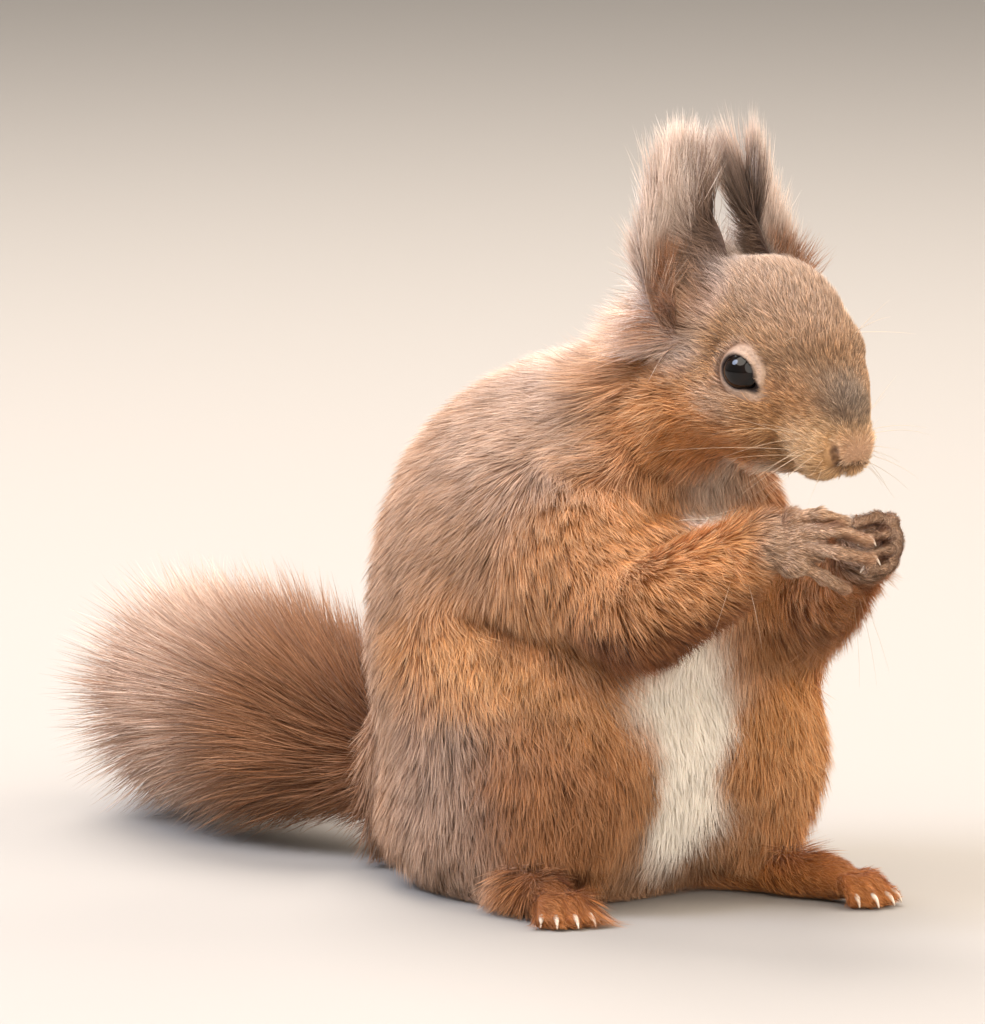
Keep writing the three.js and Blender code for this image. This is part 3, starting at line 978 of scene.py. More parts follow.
@dataclass(frozen=True)
class Leg:
    """A hind foot: where it lies, and the row its toes reach to."""

    heel: Point
    ball: Point
    tips: tuple[tuple[float, float], tuple[float, float]]
    toes: int = 5
    lowest: float = 2.3  # height of the tips' middles
    claw_height: float = 0.6
    rounding: float = 0.28  # how far the outer toes stay back
    bend_rise: float = 2.0

    def toe_paths(self) -> list[list[Array]]:
        """Each toe as its knuckle, bend, tip and the point of its claw.

        Returns:
            Four points for each toe.
        """
        paths = []
        ball = np.array(self.ball)
        for i in range(self.toes):
            t = i / (self.toes - 1)
            row = np.array([*mix(np.array(self.tips[0]), np.array(self.tips[1]), t), self.lowest])
            back = np.array([*self.ball[:2], self.lowest])
            tip = mix(row, back, self.rounding * (2.0 * t - 1.0) ** 2)
            knuckle = mix(ball, tip, 0.25)
            bend = mix(knuckle, tip, 0.6) + np.array([0.0, 0.0, self.bend_rise])
            reach = mix(knuckle, tip, 1.32)
            paths.append([knuckle, bend, tip, np.array([*reach[:2], self.claw_height])])
        return paths


LEGS = {
    "right": Leg(heel=(-23, 12, 6), ball=(-34, -19, 4.8), tips=((-31, -32.5), (-45, -27))),
    "left": Leg(heel=(22, -9, 6), ball=(25.5, -43, 4.8), tips=((20, -57), (34.5, -54.5))),
}

TAIL_PATH: tuple[Point, ...] = (
    (0, 38, 15),
    (0, 58, 19),
    (-1, 77, 25),
    (-1, 102, 28),
    (6, 124, 27),
    (22, 138, 22),
    (34, 141, 18),
)


def spine_lies() -> list[Lie]:
    """The lie of the coat down the back, over both sides and down the front.

    Returns:
        The lies of the neck and trunk.
    """
    lies = [
        Lie(Part.NAPE, ((-2, -40, 132), (0, -14, 120)), 10),
        Lie(Part.BACK, ((0, -8, 115), (0, 25, 104), (0, 50, 78), (0, 54, 42), (0, 44, 8)), 14),
        Lie(Part.THROAT, ((-2, -50, 98), (0, -38, 88)), 8),
        Lie(Part.BELLY, ((0, -36, 84), (0, -30, 50), (0, -27, 6)), 12),
    ]
    for side in SIDES.values():
        lies += [
            Lie(Part.NAPE, mirrored(((15, -36, 124), (16, -18, 114)), side), 8),
            Lie(Part.NECK, mirrored(((17, -38, 108), (22, -18, 98)), side), 9),
            Lie(Part.FLANK, mirrored(((24, -8, 102), (33, 12, 84), (37, 32, 50), (33, 34, 8)), side), 14),
        ]
    return lies


def limb_lies() -> list[Lie]:
    """The lie of the coat down the limbs.

    Returns:
        The lies of the arms, hands, thighs and feet.
    """
    lies = []
    for side, arm in ARMS.items():
        sign = SIDES[side]
        shoulder = (sign * 25, -10, 90)
        knuckles = arm.digits[1][0]
        lies += [
            Lie(Part.UPPER_ARM, (shoulder, arm.elbow), 13, sag=0.3),
            Lie(Part.FOREARM, (arm.elbow, arm.wrist), 9, sag=0.8),
            Lie(Part.HAND, (arm.wrist, knuckles, arm.digits[1][2]), 7),
            Lie(Part.HAND, (arm.wrist, arm.digits[3][0], arm.digits[3][2]), 7),
            Lie(Part.THIGH, mirrored(((34, 16, 58), (36, -4, 36), (35, -8, 4)), sign), 13),
            Lie(Part.THIGH, mirrored(((26, -24, 52), (27, -32, 28), (27, -30, 6)), sign), 9),
        ]
    for leg in LEGS.values():
        tip = (*mix(np.array(leg.tips[0]), np.array(leg.tips[1]), 0.5), 3.0)
        lies.append(Lie(Part.FOOT, (leg.heel, leg.ball, tip), 6))
    return lies


def head_lies() -> list[Lie]:
    """The lie of the coat on the head, running back from the nose.

    Returns:
        The lies of the head without its ears.
    """
    lies = [
        Lie(Part.NOSE, ((0, -26, -6.5), (0, -23.5, -2.5)), 2.0, HEAD),
        Lie(Part.FACE, ((0, -22, -1), (0, -14, 6)), 5, HEAD),
        Lie(Part.CROWN, ((0, -8, 11), (0, 6, 19), (0, 24, 15)), 8, HEAD),
        Lie(Part.FACE, ((0, -21, -13), (0, -12, -19)), 4, HEAD),
        Lie(Part.THROAT, ((0, -10, -21), (0, 8, -24)), 6, HEAD),
    ]
    for side in SIDES.values():
        lies += [
            Lie(Part.FACE, mirrored(((3, -24, -6), (7, -18, -7), (11, -10, -7)), side), 5, HEAD),
            Lie(Part.FACE, mirrored(((4, -20, 0), (9, -10, 4), (13, -4, 6)), side), 4, HEAD),
            Lie(Part.CROWN, mirrored(((13, -2, 9), (14, 10, 12)), side), 6, HEAD),
            Lie(Part.CHEEK, mirrored(((12, -6, -8), (17, 8, -8), (15, 20, -10)), side), 8, HEAD),
            Lie(Part.CHEEK, mirrored(((8, -8, -16), (12, 6, -19), (12, 18, -20)), side), 7, HEAD),
        ]
    return lies


@dataclass(frozen=True)
class Trunk:
    """The neck, trunk and limbs, drawn from the solids and thinned by the coat's depth."""

    flesh: tuple[str, ...] = ("neck", "chest", "belly")
    paired: tuple[str, ...] = ("upper_arm", "forearm", "thigh")
    seam: float = 0.25  # mm that each solid is swollen by, to close the cuts between them
    coarse: float = 1.5  # mm
    fine: float = 1.1  # mm
    smoothing: int = 12
    depth_share: float = 0.42  # of the hair's length
    deepest: float = 12.0  # mm of hair that the depth is reckoned from, at the most
    under_share: float = 0.25  # of the depth, where the underside meets the ground
    last_smoothing: int = 4
    furrow: float = 3.6  # mm that the skin sinks in where the flank folds over the thigh
    furrow_width: float = 4.0  # mm
    fold: tuple[Point, ...] = ((37, 7, 62.5), (36.5, -6, 60.0), (35, -18, 56.0), (31, -27, 50.5))

    def nodes(self) -> list[str]:
        """The solids that the trunk is drawn from."""
        return [*self.flesh, *(f"{name}_{side}" for name in self.paired for side in SIDES)]

    def solid(self, name: str) -> Net:
        """A solid of the frame, swollen a little.

        Args:
            name: of the solid.

        Returns:
            The solid as a net, a little larger than it is.
        """
        mesh = bpy.data.meshes.new_from_object(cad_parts[name])
        net = triangles(mesh)
        rounded = np.round(net.points, 3)
        _, index, back = np.unique(rounded, axis=0, return_index=True, return_inverse=True)
        points = net.points[index]
        faces = back.reshape(-1)[net.faces]
        corners = points[faces]
        spans = np.cross(corners[:, 1] - corners[:, 0], corners[:, 2] - corners[:, 0])
        normals = np.zeros(points.shape)
        for corner in range(3):
            np.add.at(normals, faces[:, corner], spans)
        return Net(points + self.seam * unit(normals), faces)

    def rump(self) -> Net:
        """The part of the rump that the tail's own solid takes in.

        Returns:
            The closed net.
        """
        clay = Clay()
        clay.add(22, Egg((0, 9, 31), (37, 38, 38)), Egg((0, 15.5, 60), (35, 41, 36)))
        clay.add(10, Egg((-2, 17, 16), (36, 31, 21)))
        return triangulated(Net(*skinned(clay, (-32, 12, 1), (32, 62, 54), self.coarse)))

    def net(self, pelt: Pelt) -> Net:
        """The skin under the coat.

        Args:
            pelt: the coat's lies, which say how deep it is.

        Returns:
            The closed net.
        """
        solids = [self.solid(name) for name in self.nodes()] + [self.rump()]
        outer = remeshed(joined(solids), self.coarse, self.smoothing)
        thing = outer.thing("outer")
        normals = normals_of(thing.data)
        bpy.data.objects.remove(thing)
        weights, _, parts = pelt.weights(outer.points)
        depths = np.array([min(HAIR[part].length, self.deepest) for part in parts]) * self.depth_share
        floor = smooth_step(0.0, 3.0, outer.points[:, 2])
        share = np.where(normals[:, 2] < -0.5, mix(self.under_share, 1.0, floor), 1.0)
        folds = [bar(mirrored(self.fold, side), (0.1,) * len(self.fold)) for side in SIDES.values()]
        near = np.minimum(*(fold.distance(outer.points) for fold in folds))
        sunk = self.furrow * np.exp(-((near / self.furrow_width) ** 2))
        thinned = outer.points - normals * ((weights @ depths) * share + sunk)[:, None]
        return remeshed(Net(thinned, outer.faces), self.fine, self.last_smoothing)


def eased(path: tuple[Point, ...], count: int) -> Array:
    """Points evenly along a smooth curve through a path.

    Args:
        path: the points that the curve goes through.
        count: how many points it gets.

    Returns:
        The points, the same distance apart along the curve.
    """
    knots = np.array(path, dtype=float)
    knots = np.vstack([2.0 * knots[0] - knots[1], knots, 2.0 * knots[-1] - knots[-2]])
    place = np.linspace(0.0, len(path) - 1.0, 400)
    first = np.minimum(place.astype(int), len(path) - 2)
    t = (place - first)[:, None]
    a, b, c, d = (knots[first + i] for i in range(4))
    curve = 0.5 * (2 * b + (c - a) * t + (2 * a - 5 * b + 4 * c - d) * t**2 + (3 * b - a - 3 * c + d) * t**3)
    run = np.concatenate([[0.0], np.cumsum(np.linalg.norm(np.diff(curve, axis=0), axis=1))])
    even = np.linspace(0.0, run[-1], count)
    return np.stack([np.interp(even, run, curve[:, i]) for i in range(3)], axis=1)


def bar(points: Array | Sequence[Array | Point], radii: tuple[float, ...]) -> Bar:
    """A bar through points in any kind of row."""
    return Bar(tuple(tuple(float(v) for v in point) for point in points), radii)


@dataclass(frozen=True)
class EyeSocket:
    """Where an eye looks, and the opening between its lids, in the head's frame."""

    side: float
    apart: float = 24.6
    ball_radius: float = 4.7
    lid_radius: float = 5.2
    opening: tuple[float, float] = (4.2, 3.6)
    corner: float = 3.7  # how far the inner corner lies from the middle
    fold: float = 5.2  # how far the fold over the eye lies from the middle
    gaze: Point = (0.93, -0.32, 0.14)  # the way the left eye looks
    inward: Point = (0.0, -0.985, -0.17)  # roughly the way to the inner corner

    def centre(self) -> Array:
        """The middle of the eyeball."""
        return np.array([self.side * self.apart / 2.0, 0.0, 0.0])

    def axes(self) -> Array:
        """The way the eye looks, the way to its inner corner, and the way across both, as columns.

        Returns:
            The three directions.
        """
        gaze = unit(np.array([self.side * self.gaze[0], *self.gaze[1:]]))
        inner = unit(laid_on(np.array(self.inward), gaze))
        return np.stack([gaze, inner, np.cross(gaze, inner)], axis=1)

    def at(self, out: float, inner: float = 0.0, up: float = 0.0) -> Point:
        """A place given by how far it is out, towards the inner corner and up."""
        return tuple(self.centre() + self.axes() @ np.array([out, inner, -self.side * up]))

    def space(self) -> Space:
        """The socket's own frame."""
        return Space(HEAD.axes @ self.axes(), HEAD.outward(self.centre()))

    def arc(self, out: float, radius: float, start: float, end: float) -> list[Point]:
        """Points on an arc about the eye, by angles in degrees from its inner corner upwards."""
        angles = np.radians(np.linspace(start, end, 7))
        return [self.at(out, radius * math.cos(a), radius * math.sin(a)) for a in angles]


@dataclass(frozen=True)
class Head:
    """The skull, muzzle, lids, nose and mouth."""

    half_width: float = 16.5
    snout: float = 23.2
    cell: float = 0.5
    low: Point = (-23.0, -29.0, -31.0)
    high: Point = (23.0, 38.0, 24.0)
    face_depth: tuple[float, float] = (0.45, 2.1)  # of the coat, at the nose and at the eyes
    back_depth: float = 3.4  # more of it, at the back of the head
    nostril: tuple[Point, ...] = (
        (4.8, -24.4, -5.4),
        (4.9, -24.3, -6.8),
        (4.1, -24.7, -8.2),
        (2.3, -25.0, -9.2),
        (0, -25, -9.8),
    )
    wing: tuple[Point, ...] = ((4.7, -22.4, -3.2), (5.4, -22.9, -5.2), (4.9, -24.3, -6.8))
    cleft: tuple[Point, ...] = ((0, -25.4, -8.8), (0, -23.8, -10.4), (0, -22.8, -12.4))
    lips: tuple[Point, ...] = ((0, -22.8, -12.4), (3.4, -20.4, -14.1), (6.8, -14.2, -14.6), (8.6, -9, -13.2))

    def skull(self, clay: Clay) -> None:
        """Adds the large volumes, out to the coat's tips.

        Args:
            clay: what they are added to.
        """
        clay.add(10, Egg((0, 9, 3.5), (self.half_width, 19, 16)))
        clay.add(10, bar([(0, -6, -1.8), (0, 3.6 - self.snout, -5.5)], (11, 6.3)))  # the muzzle
        clay.add(9, Egg((0, 25, -1), (14, 10, 14)))  # the back of the head
        for side in SIDES.values():
            clay.add(7, Egg((side * 9.5, 3, -9), (8.5, 13, 9.5)))  # a cheek
            clay.add(4, Egg((side * 9.4, -1, 6), (5.2, 8, 4.3)))  # a brow
            clay.add(4, Egg((side * 7.0, -8.5, 1.0), (4.6, 6.5, 5.5)))  # before an eye
            clay.add(4.5, Egg((side * 3.6, -15.8, -8.8), (5.2, 8.0, 5.2)))  # where whiskers grow
        clay.add(4, Egg((0, -13.5, -0.6), (8.2, 8.0, 6.0)))  # the bridge of the nose
        clay.add(4, bar([(0, 0, -16), (0, -14.5, -13.4)], (8.4, 4.6)))  # the lower jaw
        clay.add(2.5, Egg((0, 0.4 - self.snout, -6.0), (3.8, 2.8, 3.2)))  # the tip of the nose
        neck = HEAD.inward(np.array([[0, 0, 91.5], [-1, -33, 111]]))
        clay.add(12, bar(neck, (21.5, 18.0)))

    def depth(self, points: Array) -> Array:
        """How deep the coat is over each point of the head.

        Args:
            points: places in the head's frame.

        Returns:
            The depths in millimetres.
        """
        y = points[..., 1]
        front = mix(*self.face_depth, smooth_step(-24.0, 2.0, y))
        return front + self.back_depth * smooth_step(14.0, 36.0, y)

    def lids(self, clay: Clay, side: float) -> None:
        """Adds one eye's lids and the fold over them, and opens them.

        Args:
            clay: what they are added to.
            side: 1 on the left, -1 on the right.
        """
        socket = EyeSocket(side)
        clay.add(2.2, Egg(tuple(socket.centre()), (socket.lid_radius,) * 3))
        fold = socket.arc(2.1, socket.fold, -10.0, 130.0)
        clay.add(0.9, bar(fold, (0.3, 0.5, 0.65, 0.7, 0.65, 0.5, 0.3)))
        crease = socket.arc(3.1, socket.fold - 0.65, 0.0, 120.0)
        clay.carve(0.5, bar(crease, (0.1, 0.2, 0.3, 0.3, 0.3, 0.2, 0.1)))
        clay.carve(0.5, Egg(socket.at(4.7), (3.1, *socket.opening), socket.axes()))
        clay.carve(0.5, Egg(socket.at(4.0, socket.corner, -0.5), (2.4, 2.3, 1.4), socket.axes()))

    def half_mouth(self, clay: Clay, side: float) -> None:
        """Adds one side of the nose pad and upper lip, and cuts its nostril and the line of its lips.

        Args:
            clay: what they are added to.
            side: 1 on the left, -1 on the right.
        """
        clay.add(1.2, Egg((side * 2.5, -22.8, -6.6), (2.9, 2.7, 2.6)))
        clay.add(2.2, Egg((side * 3.0, -19.2, -11.0), (3.3, 4.0, 3.2)))
        clay.carve(0.5, bar(mirrored(self.nostril, side), (0.3, 0.65, 0.8, 0.6, 0.4)))
        clay.carve(0.8, bar(mirrored(self.wing, side), (0.2, 0.4, 0.5)))
        clay.carve(0.5, bar(mirrored(self.lips, side), (0.5, 0.5, 0.45, 0.25)))

    def features(self, clay: Clay) -> None:
        """Adds the lids, nose and mouth, with the cleft under the nose and the chin.

        Args:
            clay: what they are added to.
        """
        for side in SIDES.values():
            self.lids(clay, side)
            self.half_mouth(clay, side)
        clay.carve(0.5, bar(self.cleft, (0.6, 0.6, 0.5)))
        clay.add(2.0, Egg((0, -15.8, -14.6), (3.2, 3.2, 2.0)))

    def net(self) -> Net:
        """The head's skin.

        Returns:
            The closed net.
        """
        clay = Clay()
        self.skull(clay)
        clay.thin(self.depth)
        self.features(clay)
        points, quads = skinned(clay, self.low, self.high, self.cell)
        return Net(HEAD.outward(points), quads)


@dataclass(frozen=True)
class Ear:
    """An ear: a thin leaf, cupped forwards, deeper at its foot."""

    side: float
    root: Point = (14.5, 20, 4)
    back: float = 41.0
    inward: float = 14.0
    face: float = 34.0
    half_width: float = 9.0
    half_height: float = 17.0
    thickness: float = 0.75
    middle: float = 9.6  # how far the leaf's middle stands above its root
    cupping: tuple[float, float] = (6.6, 3.4)  # at the foot and towards the tip
    narrowing: float = 0.34  # towards the tip
    rows: int = 44
    columns: int = 72

    def space(self) -> Space:
        """The ear's frame: z runs up it, -y is the way it opens.

        Returns:
            The frame.
        """
        axes = HEAD.axes @ turn("y", -self.inward * self.side) @ turn("x", -self.back)
        axes = axes @ turn("z", self.face * self.side)
        root = np.array([self.side * self.root[0], *self.root[1:]])
        return Space(axes, HEAD.outward(root))

    def net(self) -> Net:
        """The ear's skin.

        Returns:
            The closed net.
        """
        leaf = ball(self.rows, self.columns)
        x, y, z = leaf.points.T
        narrow = 1.0 - self.narrowing * np.maximum(0.0, z) ** 2
        cup = mix(*self.cupping, smooth_step(-0.9, 0.6, z))
        points = np.stack(
            [
                x * narrow * self.half_width,
                y * self.thickness * (1.3 - 0.5 * z) + cup * (1.0 - x * x - 0.7 * z * z),
                z * self.half_height + self.middle,
            ],
            axis=1,
        )
        return Net(self.space().outward(points), leaf.faces)

    def lies(self) -> list[Lie]:
        """The lie of the hair on the ear's front, back and tip.

        Returns:
            The lies, in the ear's frame.
        """
        space = self.space()
        return [
            Lie(Part.EAR_FRONT, ((0, 0.5, -2), (0, 1, 12)), 3.5, space),
            Lie(Part.EAR_BACK, mirrored(((-2, 10, -4), (3, 6.5, 14)), self.side), 3.5, space),
            Lie(Part.EAR_BACK, mirrored(((6, 2, -4), (6.4, 4, 1)), self.side), 2.6, space),
            Lie(Part.EAR_FRINGE, mirrored(((7, 1, 4), (10, 2.5, 9)), self.side), 2.6, space),
            Lie(Part.EAR_FRINGE, mirrored(((7, 0, 12), (7.8, 1, 19)), self.side), 2.6, space),
            Lie(Part.EAR_TUFT, mirrored(((0, 3, 19), (-2.0, 2, 30)), self.side), 4.0, space),
            Lie(Part.EAR_TUFT, mirrored(((5, 1, 19), (3.0, 1, 28)), self.side), 3.0, space),
            Lie(Part.EAR_TUFT, mirrored(((-4, 1, 17), (-4.2, 0, 28)), self.side), 3.0, space),
        ]


EARS = {"right": Ear(SIDES["right"]), "left": Ear(SIDES["left"], inward=18.0, face=50.0)}


@dataclass(frozen=True)
class Hand:
    """A forepaw, from the wrist to the fingertips."""

    arm: Arm
    start: float = 0.8  # how far down the forearm its skin begins
    forearm: tuple[float, float] = (5.8, 4.9)  # radii there and at the wrist
    palm: tuple[float, float] = (4.4, 3.3)
    row: float = 1.9  # radius of the row of knuckles
    digit: tuple[float, float, float] = (1.5, 1.25, 1.05)  # radii at the knuckle, the bend and the tip
    pads: tuple[float, float] = (1.42, 1.2)  # radii at the bend and the tip
    web: tuple[float, float] = (2.6, 0.9)
    heel_shift: Point = (-0.6, 1.4, -0.6)
    heel: Point = (3.2, 3.6, 2.8)
    cell: float = 0.4
    margin: float = 5.0

    def net(self) -> Net:
        """The hand's skin.

        Returns:
            The closed net.
        """
        arm = self.arm
        elbow, wrist, palm = (np.array(place, dtype=float) for place in (arm.elbow, arm.wrist, arm.palm))
        clay = Clay()
        start = mix(elbow, wrist, self.start)
        clay.add(1, bar([start, wrist], self.forearm))
        clay.add(3, bar([wrist, palm], self.palm))
        clay.add(2, bar([arm.digits[0][0], arm.digits[-1][0]], (self.row, self.row)))
        for knuckle, bend, tip, _ in arm.digits:
            clay.add(1.0, bar([palm, knuckle], (2.0, self.digit[0])))
            clay.add(0.5, bar([knuckle, bend, tip], self.digit))
            clay.add(0.4, Egg(bend, (self.pads[0],) * 3), Egg(tip, (self.pads[1],) * 3))
        for hollow in arm.hollows():
            clay.add(1.2, bar([palm, mix(palm, hollow, 0.72)], self.web))
        heel = mix(palm, np.array(arm.digits[-1][0], dtype=float), 0.9)
        clay.add(2, Egg(tuple(heel + self.heel_shift), self.heel))
        ends = np.array([digit[2] for digit in arm.digits] + [palm, start])
        low, high = ends.min(axis=0) - self.margin, ends.max(axis=0) + self.margin
        return Net(*skinned(clay, low, high, self.cell))


@dataclass(frozen=True)
class Foot:
    """A hind foot, flat on the ground."""

    leg: Leg
    sole: tuple[float, float] = (5.2, 4.2)  # radii at the heel and the ball
    web: tuple[float, float] = (2.6, 2.2)
    toe: tuple[float, float, float] = (2.1, 1.75, 1.35)  # radii at the knuckle, the bend and the tip
    pad: Point = (1.6, 1.6, 1.45)
    pad_drop: float = 0.8
    underneath: float = -1.0  # where the box that holds the foot begins
    cell: float = 0.5
    margin: float = 5.0

    def net(self) -> Net:
        """The foot's skin.

        Returns:
            The closed net.
        """
        leg = self.leg
        clay = Clay()
        clay.add(1, bar([leg.heel, leg.ball], self.sole))
        paths = leg.toe_paths()
        for knuckle, bend, tip, _ in paths:
            clay.add(1.5, bar([leg.ball, knuckle], self.web))
            clay.add(1.0, bar([knuckle, bend, tip], self.toe))
            clay.add(0.8, Egg(tuple(tip - [0, 0, self.pad_drop]), self.pad))
        ends = np.array([path[2] for path in paths] + [leg.ball, leg.heel])
        low, high = ends.min(axis=0) - self.margin, ends.max(axis=0) + self.margin
        return Net(*skinned(clay, (low[0], low[1], self.underneath), high, self.cell))


@dataclass(frozen=True)
class Tail:
    """The tail's flesh, thin within its long hair."""

    start: Point = (0, 26, 20)  # inside the rump
    radii: tuple[float, float, float] = (8.0, 5.6, 2.6)
    stops: tuple[float, float, float] = (0.0, 0.3, 1.0)  # where those radii are, along the tail
    steps: int = 16
    cell: float = 1.2
    margin: float = 3.0

    def path(self) -> Array:
        """Points along the tail, from inside the rump to its end."""
        return eased((self.start, *TAIL_PATH), self.steps)

    def net(self) -> Net:
        """The tail's skin.

        Returns:
            The closed net.
        """
        path = self.path()
        radii = np.interp(np.linspace(0, 1, self.steps), self.stops, self.radii)
        clay = Clay()
        clay.add(1, bar(path, tuple(radii)))
        margin = self.radii[0] + self.margin
        return Net(*skinned(clay, path.min(axis=0) - margin, path.max(axis=0) + margin, self.cell))

    def lies(self) -> list[Lie]:
        """The lie of the tail's hair.

        Returns:
            The lies of the tail's root and of the rest of it.
        """
        path = [tuple(point) for point in self.path()]
        return [
            Lie(Part.TAIL_ROOT, tuple(path[2:5]), 7),
            Lie(Part.TAIL, tuple(path[4:]), 8),
        ]


# ---------------------------------------------------------------- eyes, claws and whiskers


def tube(path: Array, radii: Array, sides: int) -> Net:
    """A closed round tube of triangles along a path, with a radius at each of its points.

    Args:
        path: the points along its middle.
        radii: one radius for each point.
        sides: how many sides it has.

    Returns:
        The tube.
    """
    count = len(path)
    tangents = unit(np.gradient(path, axis=0))
    across = laid_on(np.tile([0.31, 0.22, 1.0], (count, 1)), tangents)
    third = np.cross(tangents, across)
    turns = (2.0 * np.pi * np.arange(sides) / sides)[None, :, None]
    spokes = np.cos(turns) * across[:, None] + np.sin(turns) * third[:, None]
    rings = path[:, None] + spokes * radii[:, None, None]
    points = np.concatenate([rings.reshape(-1, 3), path[:1], path[-1:]])
    number = np.arange(count * sides).reshape(count, sides)
    beside = np.roll(number, -1, axis=1)
    faces = [
        np.stack([number[:-1], beside[:-1], beside[1:]], axis=-1).reshape(-1, 3),
        np.stack([number[:-1], beside[1:], number[1:]], axis=-1).reshape(-1, 3),
        np.stack([np.full(sides, count * sides), beside[0], number[0]], axis=-1),
        np.stack([np.full(sides, count * sides + 1), number[-1], beside[-1]], axis=-1),
    ]
    return Net(points, np.concatenate(faces))


@dataclass(frozen=True)
class Eye:
    """An eyeball with a bulging cornea: dark all over, with a faint brown iris."""

    side: str
    bulge: float = 0.05
    dark: str = "060404"
    iris: str = "1c0f09"
    rows: int = 40
    columns: int = 56
    iris_share: float = 0.5
    iris_place: float = 0.86  # of the radius, along the way the eye looks
    iris_width: float = 0.08

    def make(self) -> bpy.types.Object:
        """Builds and dresses the eye.

        Returns:
            The finished eyeball.
        """
        socket = EyeSocket(SIDES[self.side])
        globe = ball(self.rows, self.columns)
        facing = smooth_step(0.55, 1.0, globe.points[:, 2:])
        own = globe.points * socket.ball_radius * (1.0 + self.bulge * facing)
        gaze, inner, across = socket.axes().T
        placed = own @ np.stack([inner, across, gaze]) + socket.centre()
        eye = Net(HEAD.outward(placed), globe.faces).thing(f"eyeball_{self.side}")
        ring = np.exp(-(((globe.points[:, 2:] - self.iris_place) / self.iris_width) ** 2))
        tinted(eye, mix(colour(self.dark), colour(self.iris), self.iris_share * ring))
        return finished(eye, EYEBALL, "eye", f"eye_{self.side}")


@dataclass(frozen=True)
class Claws:
    """The claws of one foot, each curving on from its digit's tip."""

    name: str
    paths: list[list[Array]]
    radius: float
    slot: str
    arch: float = 0.22
    steps: int = 9
    sides: int = 9
    taper: float = 0.86
    base: str = "5a463a"
    end: str = "e2d3c0"

    def make(self) -> bpy.types.Object:
        """Builds and dresses the claws.

        Returns:
            The finished claws.
        """
        nets, tints = [], []
        t = np.linspace(0.0, 1.0, self.steps)[:, None]
        for _, bend, tip, point in (np.array(path, dtype=float) for path in self.paths):
            start = mix(tip, bend, 0.16)
            reach = point - start
            lift = laid_on(tip - point + [0.0, 0.0, 0.6 * np.linalg.norm(reach)], unit(reach))
            rise = self.arch * np.linalg.norm(reach) * 4.0 * t * (1.0 - t)
            radii = self.radius * (1.0 - self.taper * t[:, 0] ** 1.3)
            net = tube(start + reach * t + lift * rise, radii, self.sides)
            nets.append(net)
            away = np.linalg.norm(net.points - start, axis=1, keepdims=True) / np.linalg.norm(reach)
            tints.append(mix(colour(self.base), colour(self.end), smooth_step(0.1, 0.75, away)))
        claws = joined(nets).thing(self.name)
        tinted(claws, np.concatenate(tints))
        return finished(claws, HORN, self.slot)


@dataclass(frozen=True)
class Whiskers:
    """The long bristles of the lips, brow and wrists."""

    rows: int = 3
    columns: int = 5
    few: int = 3  # on each brow and wrist
    thickness: float = 0.065
    taper: float = 0.85
    steps: int = 14
    sides: int = 3
    droop: Point = (0.0, 0.35, -0.5)  # the way they sag, as a share of their length
    longest: float = 36.0
    brow_length: float = 15.0
    wrist_length: float = 22.0
    tint: str = "c4a98c"

    def bristle(self, root: Array, away: Array, length: float, rng: np.random.Generator) -> Net:
        """One bristle, which sags back towards its tip.

        Args:
            root: where it grows, in the squirrel's frame.
            away: the way it starts out.
            length: in mm.
            rng: of the bristle's chances.

        Returns:
            The bristle.
        """
        t = np.linspace(0.0, 1.0, self.steps)[:, None]
        sag = np.array(self.droop) * length * rng.uniform(0.2, 0.6)
        path = root + unit(away + rng.normal(0.0, 0.2, 3)) * length * t + sag * t**2
        return tube(path, self.thickness * (1.0 - self.taper * t[:, 0]), self.sides)

    def make(self) -> bpy.types.Object:
        """Builds and dresses the whiskers.

        Returns:
            The finished whiskers.
        """
        rng = np.random.default_rng(SEED + 5)
        nets = []
        for side in SIDES.values():
            for row, column in np.ndindex(self.rows, self.columns):
                root = np.array([side * (4.6 + 0.6 * column), -21.8 + 1.6 * column, -7.0 - 1.8 * row])
                away = np.array([side * (0.7 + 0.04 * column), -0.45 + 0.2 * column, 0.2 - 0.2 * row])
                length = self.longest * rng.uniform(0.4, 1.0) * (0.5 + 0.5 * column / self.columns)
                nets.append(self.bristle(HEAD.outward(root), HEAD.axes @ away, length, rng))
            for i in range(self.few):
                root = np.array([side * (7.5 + i), -6.0 + 1.5 * i, 8.5])
                away = np.array([side * 0.5, -0.5, 0.8])
                nets.append(self.bristle(HEAD.outward(root), HEAD.axes @ away, self.brow_length, rng))
        for name, arm in ARMS.items():
            root = mix(np.array(arm.elbow, dtype=float), np.array(arm.wrist, dtype=float), 0.8)
            for i in range(self.few):
                away = np.array([SIDES[name] * 0.3, -0.5 + 0.2 * i, -0.8])
                nets.append(self.bristle(root, away, self.wrist_length, rng))
        whiskers = joined(nets).thing("whiskers")
        tinted(whiskers, np.tile(colour(self.tint), (len(whiskers.data.vertices), 1)))
        return finished(whiskers, BRISTLE, "brown_coat")


# ---------------------------------------------------------------- the skin and the coat


